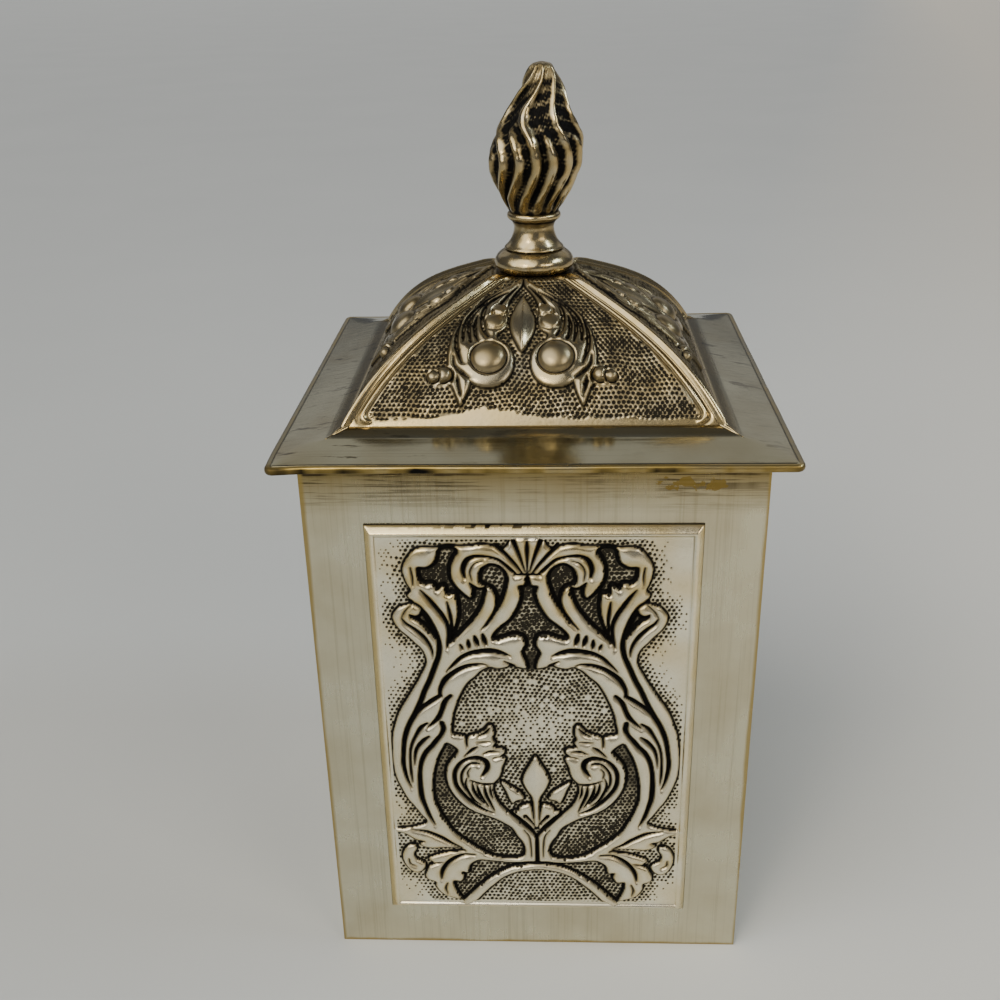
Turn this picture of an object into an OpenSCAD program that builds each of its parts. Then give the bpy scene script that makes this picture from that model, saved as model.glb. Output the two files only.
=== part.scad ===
// Square lidded vessel of silver-plated sheet brass, with a four-sided domed lid
// and a flame finial. Millimetres, +Z up, origin at the centre of the base.
// Four mitred wall plates stand round a base plate, each with a pressed relief
// panel soldered on. The lid lifts off: a collar under its rim drops into the mouth.

/* [Body] */
// Width of the square body over its walls
body_w = 94; // [88:1:98]
// Height of the wall plates
body_h = 127.1; // [120:0.1:140]
// Thickness of the wall plates
wall_t = 1; // [0.8:0.1:1.4]
// Thickness of the base plate
base_t = 1.2; // [1:0.1:2]
// Height of the strip that stiffens the mouth from inside
mouth_band_h = 8; // [6:0.5:8.5]
// Thickness of the strip in the mouth
mouth_band_t = 0.8; // [0.6:0.1:1]
// Leg of the solder fillet inside each upright corner
solder_leg = 2; // [1.5:0.1:2.5]

/* [Relief panels] */
// Width of a panel over its moulding
panel_w = 69; // [60:1:74]
// Height of a panel over its moulding
panel_h = 101; // [90:1:106]
// Height of a panel's lower edge above the base
panel_z = 11.6; // [8:0.1:13]
// Width of the sloping side of the moulding
moulding_w = 1.5; // [1:0.1:3]
// How far the moulding stands out from the wall
moulding_h = 2; // [1.5:0.1:3]
// Width of the moulding's flat crest
crest_w = 0.4; // [0.3:0.1:1]
// How far the panel's field lies below the crest
field_drop = 0.6; // [0.3:0.1:0.8]
// Thickness of the pressed sheet of a panel
panel_t = 0.8; // [0.5:0.1:0.8]

/* [Lid rim] */
// Width of the square rim over its wired edge
rim_w = 105; // [103:1:112]
// Thickness of the rim plate
rim_t = 1; // [0.8:0.1:1.2]
// How far the plate rises from its edge to the flare
rim_slope_h = 1.8; // [1:0.1:2]
// Radius of the rim's corners
rim_corner_r = 3; // [2.5:0.5:6]
// Diameter of the wire round the edge
wire_d = 1.6; // [1.4:0.1:2]
// Gap between the rim plate and the top of the walls
lid_gap = 0.1; // [0.05:0.05:0.3]
// Gap between the collar and the mouth strip, on each side
collar_gap = 0.4; // [0.3:0.1:0.8]
// Depth of the locating collar
collar_h = 9; // [9:0.5:12]
// Thickness of the locating collar
collar_t = 0.8; // [0.6:0.1:0.8]

/* [Dome] */
// Width of the dome at its foot
dome_w = 77; // [74:1:79]
// Height of the flare between the rim plate and the dome's foot
flare_h = 1.1; // [0.8:0.1:2]
// Width of that flare
flare_w = 3.1; // [2.5:0.1:4]
// Height from the dome's foot to the point where its sides would meet
dome_h = 27.6; // [26:0.1:30]
// Height from the dome's foot to its flat crown
crown_h = 22.6; // [20:0.1:23.5]
// Thickness of the dome's pressed sheet
dome_t = 0.8; // [0.6:0.1:0.9]
// Width of a hip rib
rib_w = 4.2; // [3:0.1:5]
// How far a hip rib stands above the sheet
rib_h = 0.9; // [0.5:0.1:1.2]

/* [Finial] */
// Widest diameter of the ring at the finial's foot
ring_d = 17.6; // [16:0.1:19]
// Height of the ring
ring_h = 5; // [4:0.1:6]
// Height of the waisted stem, with its collar
stem_h = 8.1; // [7.5:0.1:10]
// Diameter of the stem's waist
waist_d = 8.4; // [7:0.1:9]
// Height of the flame
flame_h = 30.6; // [28:0.1:34]
// Widest diameter of the flame
flame_d = 20.8; // [19:0.1:23]
// Diameter of the stud through the finial
stud_d = 4; // [3:0.5:4]

/* [Hidden] */
$fn = 96;

inside_w = body_w - 2 * wall_t;         // clear width between the walls
mouth_w = inside_w - 2 * mouth_band_t;  // clear width inside the mouth strip
collar_w = mouth_w - 2 * collar_gap;    // width over the lid's collar
lid_z = body_h + lid_gap;               // underside of the rim plate over the walls' edge
edge_x = rim_w / 2 - wire_d / 2;        // half-width of the rim plate, to the wire's centre
flare_x = dome_w / 2 + flare_w;         // half-width of the flare's foot
rim_slope = rim_slope_h / (edge_x - flare_x);
rim_top = lid_z + rim_t - rim_slope * (edge_x - body_w / 2);  // top of the plate at its edge
wire_z = rim_top + 0.1 - wire_d / 2;    // height of the edge wire's centre
dome_z = rim_top + rim_slope_h + flare_h;  // foot of the dome
crown_z = dome_z + crown_h;             // flat crown that the finial stands on
stem_z = crown_z + ring_h;              // foot of the stem
flame_z = stem_z + stem_h;              // foot of the flame
washer_h = 1;
washer_d = 12;
nut_h = 3.2;
nut_af = 7;                             // width of the nut across its flats
bore_gap = 0.05;                        // clearance round the stud, on the radius
bore_r = stud_d / 2 + bore_gap;
stud_tail = 1;                          // length of stud that shows under the nut
stud_grip = 6;                          // length of stud inside the flame
dome_steps = 18;                        // flat strips in one side of the dome
flare_steps = 6;
silver = [0.78, 0.76, 0.70];
old_silver = [0.62, 0.60, 0.54];
bare_brass = [0.71, 0.58, 0.30];
solder_grey = [0.55, 0.55, 0.54];

// ---- shapes that repeat ----

// A rounded square of width w and corner radius r, as circles and squares
module rounded_square(w, r) {
    square([w, w - 2 * r], center = true);
    square([w - 2 * r, w], center = true);
    for (x = [-1, 1], y = [-1, 1])
        translate([x * (w / 2 - r), y * (w / 2 - r)]) circle(r);
}

// The square-plan solid whose half-width at each height follows the outline,
// a list of [half-width, height] points from its foot to its top
module square_turned(outline, reach) {
    mirrored = [for (i = [len(outline) - 1:-1:0])
        if (outline[i][0] > 0) [-outline[i][0], outline[i][1]]];
    section = concat(outline, mirrored);
    intersection() {
        rotate([90, 0, 0]) linear_extrude(2 * reach, center = true) polygon(section);
        rotate([90, 0, 90]) linear_extrude(2 * reach, center = true) polygon(section);
    }
}

// Copies its child, built on the front, to another side: 0 front, 1 right, 2 back, 3 left
module on_side(side) rotate([0, 0, 90 * side]) children();

// ---- body ----

// One wall plate, its ends mitred to meet its neighbours
module wall() {
    a = body_w / 2;
    b = inside_w / 2;
    color(silver) linear_extrude(body_h)
        polygon([[-a, -a], [a, -a], [b, -b], [-b, -b]]);
}

module base_plate() {
    color(silver) translate([-inside_w / 2, -inside_w / 2, 0])
        cube([inside_w, inside_w, base_t]);
}

module mouth_band() {
    color(silver) translate([0, 0, body_h - mouth_band_h])
        linear_extrude(mouth_band_h) difference() {
            square(inside_w, center = true);
            square(mouth_w, center = true);
        }
}

// A hollow-faced fillet of solder up each inside corner, below the lid's collar
module corner_solder() {
    fillet_top = lid_z - collar_h - 0.4;
    color(solder_grey) for (side = [0:3]) on_side(side)
        translate([-inside_w / 2, -inside_w / 2, base_t])
            linear_extrude(fillet_top - base_t) difference() {
                square(solder_leg);
                translate([solder_leg, solder_leg]) circle(solder_leg * 0.96);
            }
}

// ---- relief panels ----

// A block of width w and height h on the wall's face whose four sides slope in by run over depth
module bevelled_block(w, h, run, depth) {
    face = body_w / 2;
    intersection() {
        translate([0, 0, panel_z + (panel_h - h) / 2]) linear_extrude(h)
            polygon([[-w / 2, -face], [w / 2, -face],
                [w / 2 - run, -face - depth], [-w / 2 + run, -face - depth]]);
        translate([-w / 2, 0, panel_z + panel_h / 2]) rotate([90, 0, 90]) linear_extrude(w)
            polygon([[-face, -h / 2], [-face, h / 2],
                [-face - depth, h / 2 - run], [-face - depth, -h / 2 + run]]);
    }
}

// A pressed panel: a bevelled moulding round a sunken field, hollow behind
module panel() {
    field_w = panel_w - 2 * (moulding_w + crest_w);
    field_h = panel_h - 2 * (moulding_w + crest_w);
    color(old_silver) difference() {
        bevelled_block(panel_w, panel_h, moulding_w, moulding_h);
        translate([-field_w / 2, -body_w / 2 - moulding_h - 1, panel_z + (panel_h - field_h) / 2])
            cube([field_w, 1 + field_drop, field_h]);
        bevelled_block(panel_w - 2 * panel_t, panel_h - 2 * panel_t, moulding_w,
            moulding_h - field_drop - panel_t);
    }
}

// ---- lid rim ----

// Centreline square of the wire, with round corners
module wire_ring() {
    half = rim_w / 2 - wire_d / 2;
    bend_r = rim_corner_r - wire_d / 2;
    run = 2 * (half - bend_r);
    for (side = [0:3]) on_side(side) {
        translate([-run / 2, -half, wire_z]) rotate([0, 90, 0]) cylinder(h = run, d = wire_d);
        translate([half - bend_r, -half + bend_r, wire_z]) rotate([0, 0, -90])
            rotate_extrude(angle = 90) translate([bend_r, 0]) circle(d = wire_d);
    }
}

module rim_wire() { color(bare_brass) wire_ring(); }

// Top of the sloping rim plate at half-width x
function plate_z(x) = rim_top + rim_slope * (edge_x - x);

// Half-widths and heights over the rim plate and up the flare, moved in by inset and down by drop
function rim_outline(inset, drop) = concat(
    [[rim_w / 2 + 1, rim_top - 4 - drop], [rim_w / 2 + 1, plate_z(rim_w / 2 + 1) - drop],
        [flare_x, plate_z(flare_x) - drop]],
    [for (i = [1:flare_steps]) let (t = i / flare_steps)
        [dome_w / 2 + flare_w * (pow(1 - t, 2) + 0.6 * t * (1 - t)) - inset,
         plate_z(flare_x) + flare_h * (t * t + 0.84 * t * (1 - t)) - drop]]);

// The sheet of the rim plate and flare, up to the dome's foot
module lid_rim() {
    color(silver) difference() {
        intersection() {
            square_turned(rim_outline(0, 0), rim_w);
            translate([0, 0, rim_top - 4]) linear_extrude(10)
                rounded_square(rim_w - wire_d, rim_corner_r - wire_d / 2);
        }
        square_turned(concat(rim_outline(0.35, rim_t), [[dome_w / 2 - dome_t, dome_z - 0.6]]), rim_w);
        translate([0, 0, dome_z - 1]) linear_extrude(2)
            square(dome_w - 2 * dome_t, center = true);
        wire_ring();
    }
}

// The locating collar, its top edge shaped to the underside of the rim plate
module lid_collar() {
    outer = collar_w / 2;
    inner = outer - collar_t;
    color(silver) difference() {
        square_turned([[outer, lid_z - collar_h], [outer, plate_z(outer) - rim_t],
            [inner, plate_z(inner) - rim_t]], rim_w);
        translate([0, 0, lid_z - collar_h - 1]) linear_extrude(collar_h + 3)
            square(2 * inner, center = true);
    }
}

// ---- dome ----

// The side curve of the dome, a cubic from its foot (t = 0) to its crown (t = 1)
function cubic(a, b, c, d, t) = pow(1 - t, 3) * a + 3 * t * pow(1 - t, 2) * b
    + 3 * t * t * (1 - t) * c + pow(t, 3) * d;
function cubic_slope(a, b, c, d, t) = 3 * pow(1 - t, 2) * (b - a)
    + 6 * t * (1 - t) * (c - b) + 3 * t * t * (d - c);
side_x = [dome_w / 2, dome_w * 0.368, dome_w * 0.192, 0];
side_z = [0, dome_h * 0.623, dome_h * 0.677, dome_h];

// A point of the side curve, moved out square to it by grow
function side_point(t, grow) = let (
    x = cubic(side_x[0], side_x[1], side_x[2], side_x[3], t),
    z = cubic(side_z[0], side_z[1], side_z[2], side_z[3], t),
    dx = cubic_slope(side_x[0], side_x[1], side_x[2], side_x[3], t),
    dz = cubic_slope(side_z[0], side_z[1], side_z[2], side_z[3], t),
    n = sqrt(dx * dx + dz * dz))
    [max(0, x + grow * dz / n), dome_z + z - grow * dx / n];

// The solid dome, grown by grow all round, cut flat at the foot and the crown
module dome_solid(grow) {
    points = [for (i = [0:dome_steps]) side_point(i / dome_steps, grow)];
    intersection() {
        square_turned(concat([[points[0][0], dome_z - 1]], points), rim_w);
        translate([0, 0, dome_z - (grow < 0 ? 0.5 : 0)])
            linear_extrude(crown_h + grow + (grow < 0 ? 0.5 : 0)) square(rim_w, center = true);
    }
}

// The quarter of the plan that lies on the front side
module front_quarter() {
    linear_extrude(2 * dome_z) polygon([[0, 0], [-rim_w, -rim_w], [rim_w, -rim_w]]);
}

// One side of the dome, mitred at the hips, with its share of the stud's hole
module dome_side() {
    color(old_silver) intersection() {
        difference() {
            dome_solid(0);
            dome_solid(-dome_t);
            cylinder(h = 2 * crown_z, r = bore_r);
        }
        front_quarter();
    }
}

// The rib over the hip at the front left corner, from the rim to the finial's ring
module hip_rib() {
    color(old_silver) difference() {
        intersection() {
            dome_solid(rib_h);
            rotate([0, 0, 45]) translate([-rim_w, -rib_w / 2, 0]) cube([rim_w, rib_w, 2 * dome_z]);
        }
        dome_solid(0);
        translate([0, 0, crown_z - 1]) cylinder(h = ring_h, d = ring_d + 0.4);
        cylinder(h = 2 * dome_z, d = ring_d * 0.9);
    }
}

// ---- finial ----

// A half-round side of the ring, above and below its widest line
module finial_ring() {
    foot_r = ring_d * 0.4;
    neck_r = ring_d * 0.335;
    low = ring_h * 0.4;
    high = ring_h - low;
    color(old_silver) translate([0, 0, crown_z]) difference() {
        rotate_extrude() polygon(concat(
            [[0, 0], [foot_r, 0]],
            [for (a = [0:15:90]) [foot_r + (ring_d / 2 - foot_r) * sin(a), low * (1 - cos(a))]],
            [for (a = [15:15:90]) [neck_r + (ring_d / 2 - neck_r) * cos(a), low + high * sin(a)]],
            [[0, ring_h]]));
        translate([0, 0, -1]) cylinder(h = ring_h + 2, r = bore_r);
    }
}

// The waisted stem with a beaded collar at the top
module finial_stem() {
    foot_r = ring_d * 0.33;
    bead_r = 0.75;
    bead_x = ring_d * 0.335 - bead_r;
    waist_z = stem_h - 2 * bead_r;
    color(old_silver) translate([0, 0, stem_z]) difference() {
        union() {
            rotate_extrude() polygon(concat(
                [[0, 0], [foot_r, 0]],
                [for (i = [0:12]) let (a = 180 * i / 12)
                    [waist_d / 2 + (i < 6 ? foot_r - waist_d / 2 : bead_x - waist_d / 2)
                        * pow(abs(cos(a)), 1.6),
                     0.5 + (waist_z - 0.5) * i / 12]],
                [[0, waist_z]]));
            translate([0, 0, stem_h - 2 * bead_r]) cylinder(h = 2 * bead_r, r = bead_x);
            translate([0, 0, stem_h - bead_r]) rotate_extrude()
                translate([bead_x, 0]) circle(bead_r);
        }
        translate([0, 0, -1]) cylinder(h = stem_h + 2, r = bore_r);
    }
}

// The flame's smooth outer envelope: full at a third of its height, drawn up to a blunt tip
function flame_r(u) = flame_d / 2 * (u < 0.38
    ? 0.5 + 0.5 * pow(sin(90 * u / 0.38), 0.9)
    : pow(cos(90 * (u - 0.38) / 0.62), 0.86) * (1 - 0.08 * sin(180 * (u - 0.38) / 0.62)));

// A leaning round groove up the flame's side: an arc that follows its belly
module flame_groove() {
    arc_r = 0.62 * flame_h;
    translate([flame_d / 2 - arc_r + 0.4, 0, 0.42 * flame_h]) rotate([90, 0, 0])
        rotate([0, 0, -50]) rotate_extrude(angle = 96) translate([arc_r, 0]) circle(1, $fn = 32);
}

module finial_flame() {
    steps = 28;
    grooves = 10;
    color(old_silver) translate([0, 0, flame_z]) difference() {
        rotate_extrude() polygon(concat(
            [[0, 0]],
            [for (i = [0:steps - 1]) [flame_r(i / steps), flame_h * i / steps]],
            [[0, flame_h]]));
        for (i = [0:grooves - 1]) rotate([0, 0, 360 * i / grooves]) rotate([12, 0, 0])
            flame_groove();
        translate([0, 0, -1]) cylinder(h = stud_grip + 1.5, r = bore_r);
    }
}

module finial_stud() {
    stud_z = crown_z - dome_t - washer_h - nut_h - stud_tail;
    color(bare_brass) translate([0, 0, stud_z])
        cylinder(h = flame_z + stud_grip - stud_z, d = stud_d);
}

module finial_washer() {
    color(bare_brass) translate([0, 0, crown_z - dome_t - washer_h]) difference() {
        cylinder(h = washer_h, d = washer_d);
        translate([0, 0, -1]) cylinder(h = washer_h + 2, r = bore_r);
    }
}

module finial_nut() {
    color(bare_brass) translate([0, 0, crown_z - dome_t - washer_h - nut_h]) difference() {
        cylinder(h = nut_h, d = nut_af / cos(30), $fn = 6);
        translate([0, 0, -1]) cylinder(h = nut_h + 2, r = bore_r);
    }
}

// ---- the assembly ----

on_side(0) wall();  // front_wall
on_side(1) wall();  // right_wall
on_side(2) wall();  // back_wall
on_side(3) wall();  // left_wall
on_side(0) panel();  // front_panel
on_side(1) panel();  // right_panel
on_side(2) panel();  // back_panel
on_side(3) panel();  // left_panel
base_plate();
mouth_band();
corner_solder();
lid_rim();
rim_wire();
lid_collar();
on_side(0) dome_side();  // dome_front
on_side(1) dome_side();  // dome_right
on_side(2) dome_side();  // dome_back
on_side(3) dome_side();  // dome_left
on_side(0) hip_rib();  // hip_rib_front_left
on_side(1) hip_rib();  // hip_rib_front_right
on_side(2) hip_rib();  // hip_rib_back_right
on_side(3) hip_rib();  // hip_rib_back_left
finial_ring();
finial_stem();
finial_flame();
finial_stud();
finial_washer();
finial_nut();
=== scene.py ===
"""Looks of a square silver-plated vessel with relief panels, a domed lid and a flame finial.

Outlines are in millimetres, in the frame's axes, and become metres when a mesh is made.
"""
import math
from types import SimpleNamespace

import bpy
import numpy as np
from mathutils import Matrix, Vector


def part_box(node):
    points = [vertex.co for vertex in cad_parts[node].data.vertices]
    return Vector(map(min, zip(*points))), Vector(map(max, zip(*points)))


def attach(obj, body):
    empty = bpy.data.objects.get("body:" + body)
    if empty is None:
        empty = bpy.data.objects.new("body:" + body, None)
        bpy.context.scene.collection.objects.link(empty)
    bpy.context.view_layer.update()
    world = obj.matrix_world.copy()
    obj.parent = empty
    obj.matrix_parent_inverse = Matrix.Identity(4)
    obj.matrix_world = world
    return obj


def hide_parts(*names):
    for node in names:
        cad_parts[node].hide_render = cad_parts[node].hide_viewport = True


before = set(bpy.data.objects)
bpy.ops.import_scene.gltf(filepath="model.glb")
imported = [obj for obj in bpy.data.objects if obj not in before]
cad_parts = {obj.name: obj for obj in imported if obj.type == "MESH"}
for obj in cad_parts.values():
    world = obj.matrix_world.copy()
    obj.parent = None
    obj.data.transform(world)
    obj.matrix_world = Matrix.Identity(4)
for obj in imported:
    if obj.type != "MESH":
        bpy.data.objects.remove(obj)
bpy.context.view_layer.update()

MM = 0.001
SIDES = ("front", "right", "back", "left")


def box_mm(node):
    """Lowest and highest corner of a CAD node, in millimetres."""
    low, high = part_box(node)
    return np.array(low) / MM, np.array(high) / MM


# ---------------------------------------------------------------- numbers from the frame

BODY_HALF = box_mm("front_wall")[1][0]
panel_low, panel_high = box_mm("front_panel")
wire_low, wire_high = box_mm("rim_wire")
dome_low, dome_high = box_mm("dome_front")
ring_low, ring_high = box_mm("finial_ring")
stem_low, stem_high = box_mm("finial_stem")
flame_low, flame_high = box_mm("finial_flame")
DOME_FOOT_HALF, DOME_FOOT_Z, CROWN_Z = dome_high[0], dome_low[2], dome_high[2]
RING_R, RING_H = ring_high[0], ring_high[2] - ring_low[2]
STEM_R, STEM_H = stem_high[0], stem_high[2] - stem_low[2]
FLAME_R, FLAME_H = flame_high[0], flame_high[2] - flame_low[2]

# The rim plate slopes up from its wired edge to the flare round the dome's foot.
RIM_HALF = wire_high[0]
RIM_ROUND = 1.9
WIRE_R = (wire_high[2] - wire_low[2]) / 2
WIRE_PROUD = 0.1
PLATE = 1.0
PLATE_RISE = 1.8
FLARE_W = 3.1
EDGE_TOP = wire_high[2] - WIRE_PROUD
EDGE_HALF = RIM_HALF - WIRE_R
FLARE_HALF = DOME_FOOT_HALF + FLARE_W
RIM_SLOPE = PLATE_RISE / (EDGE_HALF - FLARE_HALF)
# Thickness of the dome's sheet, and how far a hip band runs down the flare.
SHEET = 0.8
BAND_TAIL = 3.6


def plate_z(half):
    """Height of the sloping rim plate's top at a half-width."""
    return EDGE_TOP + RIM_SLOPE * (EDGE_HALF - half)


# ---------------------------------------------------------------- small maths


def smoothstep(t):
    """From 0 to 1 with soft ends, as t goes from 0 to 1."""
    t = np.clip(t, 0.0, 1.0)
    return t * t * (3 - 2 * t)


RIPPLE_WAVES = 7


def ripple(x, y, size, seed):
    """Smooth unevenness between about -1 and 1, with features of the given size."""
    rng = np.random.default_rng(seed)
    total = np.zeros(np.broadcast(x, y).shape)
    for _ in range(RIPPLE_WAVES):
        turn = rng.uniform(0, math.tau)
        pace = math.tau / size * rng.uniform(0.6, 1.5)
        total += np.sin((x * math.cos(turn) + y * math.sin(turn)) * pace + rng.uniform(0, math.tau))
    return total / math.sqrt(RIPPLE_WAVES) / 1.3


def smooth_line(points, closed=False, step=0.4):
    """A Catmull-Rom curve through given points, as short straight pieces."""
    p = np.asarray(points, float)
    n = len(p)
    if closed:
        ring = np.vstack([p[-1], p, p[:2]])
    else:
        ring = np.vstack([2 * p[0] - p[1], p, 2 * p[-1] - p[-2]])
    out = []
    for i in range(n if closed else n - 1):
        a, b, c, d = ring[i:i + 4]
        count = max(1, int(np.linalg.norm((c - b)[:2]) / step))
        t = (np.arange(count) / count)[:, None]
        out.append(0.5 * (2 * b + (c - a) * t + (2 * a - 5 * b + 4 * c - d) * t ** 2
                          + (3 * b - a - 3 * c + d) * t ** 3))
    if not closed:
        out.append(p[-1:])
    return np.vstack(out)


def mirrored(points):
    """The same line on the other side of the axis."""
    return [(-q[0], *q[1:]) for q in points]


def across_axis(points):
    """A closed outline from the half that runs from axis to axis."""
    inner = points[1:-1] if points[-1][0] == 0 and points[0][0] == 0 else points
    return list(points) + mirrored(inner)[::-1]


# Rows of punch marks lie this share of a mark's spacing apart, and sway by SWAY over SWAY_LENGTH.
ROW_STEP = 0.876
SWAY, SWAY_LENGTH = 0.45, 12.0
# How far a mark strays from its place, as a share of the spacing.
STRAY = 0.07
# How far from its middle a mark can reach, and how far its slope runs past its radius.
MARK_REACH, MARK_SKIRT = 0.85, 0.1


class Relief:
    """A grid of points on a sheet, and the distances from them to drawn outlines and strokes."""

    FAR = 7.0
    NEAR = 2.5

    def __init__(self, x, s):
        self.x, self.s = x, s
        self.row_s = s.mean(1)
        self.row_half = np.abs(x).max(1)
        self.share = x[0] / self.row_half[0]

    def block(self, lo, hi, reach):
        """The part of the grid within reach of a box."""
        rows = slice(*np.searchsorted(self.row_s, (lo[1] - reach, hi[1] + reach)))
        half = self.row_half[rows]
        if not len(half):
            return rows, slice(0, 0)
        ends = np.array([lo[0] - reach, hi[0] + reach])
        left = min(ends[0] / half.min(), ends[0] / half.max())
        right = max(ends[1] / half.min(), ends[1] / half.max())
        return rows, slice(*np.searchsorted(self.share, (left, right)))

    def along(self, line):
        """Distance to a line of (x, s) or (x, s, half-width) points, less the half-width."""
        gap = np.full(self.x.shape, self.FAR)
        wide = line.shape[1] > 2
        for a, b in zip(line[:-1], line[1:]):
            lo, hi = np.minimum(a, b), np.maximum(a, b)
            where = self.block(lo, hi, self.FAR)
            px, ps = self.x[where], self.s[where]
            if not px.size:
                continue
            d = b[:2] - a[:2]
            t = np.clip(((px - a[0]) * d[0] + (ps - a[1]) * d[1]) / max(d @ d, 1e-9), 0, 1)
            dist = np.hypot(px - a[0] - t * d[0], ps - a[1] - t * d[1])
            if wide:
                dist = dist - (a[2] + t * (b[2] - a[2]))
            gap[where] = np.minimum(gap[where], dist)
        return gap

    def inside(self, line):
        """Which points lie inside a closed line."""
        lo, hi = line.min(0), line.max(0)
        where = self.block(lo, hi, self.NEAR)
        px, ps = self.x[where], self.s[where]
        odd = np.zeros(px.shape, bool)
        for a, b in zip(line, np.roll(line, -1, 0)):
            if a[1] == b[1]:
                continue
            cross = (ps > min(a[1], b[1])) & (ps <= max(a[1], b[1]))
            odd ^= cross & (px < a[0] + (ps - a[1]) * (b[0] - a[0]) / (b[1] - a[1]))
        full = np.zeros(self.x.shape, bool)
        full[where] = odd
        return full

    def region(self, points):
        """Distance to a closed outline: negative inside it."""
        line = smooth_line(points, closed=True)
        gap = self.along(np.vstack([line, line[:1]]))
        return np.where(self.inside(line), -gap, gap)

    def regions(self, outlines):
        """Nearest of several outlines, each on both sides of the axis unless it crosses it."""
        gap = np.full(self.x.shape, self.FAR)
        for points in outlines:
            if points[0][0] == 0 and points[-1][0] == 0:
                gap = np.minimum(gap, self.region(across_axis(points)))
            else:
                gap = np.minimum(gap, self.region(points))
                gap = np.minimum(gap, self.region(mirrored(points)))
        return gap

    def strokes(self, strokes):
        """Nearest of several tapering strokes, on both sides of the axis."""
        gap = np.full(self.x.shape, self.FAR)
        for points in strokes:
            sides = [points] if all(q[0] == 0 for q in points) else [points, mirrored(points)]
            for side in sides:
                gap = np.minimum(gap, self.along(smooth_line(side)))
        return gap

    def mark_rows(self, pitch, seed):
        """Rows of punch marks: their x and s, and random numbers for keeping and sizing each."""
        rng = np.random.default_rng(seed)
        for k, s0 in enumerate(np.arange(self.row_s[0], self.row_s[-1], pitch * ROW_STEP)):
            xs = np.arange(-self.row_half.max(), self.row_half.max(), pitch) + (k % 2) * pitch / 2
            xs = xs + rng.uniform(-STRAY, STRAY, xs.size) * pitch
            ss = s0 + SWAY * ripple(xs, s0 + 0 * xs, SWAY_LENGTH, seed + 3)
            ss = ss + rng.uniform(-STRAY, STRAY, xs.size) * pitch
            yield xs, ss, rng.uniform(0, 1, xs.size), rng.uniform(0.86, 1.12, xs.size)

    def pits(self, pitch, seed, share, radius):
        """Round punch marks: how deep, up to 1, and how far inside one, as 0.5 + millimetres.

        share is the part of them that is kept, and radius their size, over the sheet.
        """
        deep, within = np.zeros(self.x.shape), np.zeros(self.x.shape)
        n_rows, n_cols = self.x.shape
        row_gap, col_gap = np.diff(self.row_s).mean(), np.diff(self.share).mean()
        for xs, ss, keep, size in self.mark_rows(pitch, seed):
            rows = np.clip(np.searchsorted(self.row_s, ss), 0, n_rows - 1)
            cols = np.searchsorted(self.share, xs / self.row_half[rows])
            kept = (cols > 3) & (cols < n_cols - 4) & (rows > 2) & (rows < n_rows - 3)
            kept[kept] = keep[kept] < share[rows[kept], cols[kept]]
            if not kept.any():
                continue
            rows, cols, xs, ss, size = (v[kept] for v in (rows, cols, xs, ss, size))
            size = size * radius[rows, cols] * (0.6 + 0.4 * np.minimum(share[rows, cols], 1))
            up = int(MARK_REACH / row_gap) + 1
            wide = int(MARK_REACH / (col_gap * self.row_half[rows].min())) + 1
            for i in range(-up, up + 1):
                for j in range(-wide, wide + 1):
                    r, c = np.clip(rows + i, 0, n_rows - 1), np.clip(cols + j, 0, n_cols - 1)
                    away = np.hypot(self.x[r, c] - xs, self.s[r, c] - ss)
                    depth = np.clip(1 - (away / (size + MARK_SKIRT)) ** 2, 0, 1)
                    np.maximum.at(deep, (r, c), depth)
                    np.maximum.at(within, (r, c), np.clip(0.5 + size - away, 0, 1))
        return deep, within


# ---------------------------------------------------------------- meshes


def mesh_piece(name, points, faces, attributes):
    """An object from points in millimetres, with one float value per point for each attribute."""
    mesh = bpy.data.meshes.new(name)
    mesh.from_pydata((np.asarray(points) * MM).tolist(), [], faces)
    mesh.update()
    for key, values in attributes.items():
        layer = mesh.attributes.new(key, "FLOAT", "POINT")
        layer.data.foreach_set("value", np.asarray(values, np.float32).ravel())
    mesh.polygons.foreach_set("use_smooth", [True] * len(mesh.polygons))
    piece = bpy.data.objects.new(name, mesh)
    bpy.context.collection.objects.link(piece)
    return piece


def grid_faces(rows, cols, start=0, flip=False, wrap=False):
    """Four-sided faces of a grid of points numbered row by row."""
    r = np.arange(rows - 1)[:, None]
    c = np.arange(cols if wrap else cols - 1)[None, :]
    a = r * cols + c
    b = r * cols + (c + 1) % cols
    faces = np.stack([a, b, b + cols, a + cols], -1).reshape(-1, 4) + start
    return (faces[:, ::-1] if flip else faces).tolist()


def tube_faces(rings, cols, flip=False):
    """Four-sided faces of a tube whose last ring joins its first."""
    return (np.array(grid_faces(rings + 1, cols, wrap=True, flip=flip)) % (rings * cols)).tolist()


def capped_faces(rows, cols):
    """Four-sided faces of a stack of rings, closed at its foot and its top."""
    foot = list(range(cols))[::-1]
    top = [(rows - 1) * cols + k for k in range(cols)]
    return grid_faces(rows, cols, wrap=True) + [foot, top]


def with_back(values, count, back):
    """Values over a grid, and one value for the points behind it."""
    return np.concatenate([values.ravel(), np.full(count, back)])


def turned_copies(first, make_name):
    """The first piece and copies of it turned round the axis by quarter turns."""
    pieces = [first]
    for k in range(1, len(SIDES)):
        piece = bpy.data.objects.new(make_name(k), first.data)
        piece.matrix_world = Matrix.Rotation(k * math.tau / len(SIDES), 4, "Z")
        bpy.context.collection.objects.link(piece)
        pieces.append(piece)
    return pieces


def set_down(piece, body, slot, material, *nodes):
    """Gives a piece its body and its material, and hides the CAD nodes that it stands for."""
    if not piece.data.materials:
        piece.data.materials.append(material)
    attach(piece, body)
    if nodes:
        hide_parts(*nodes)
    return piece


# ---------------------------------------------------------------- the panel's ornament
# Half-outlines of the ornament, as (distance from the axis, height above the base).

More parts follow.
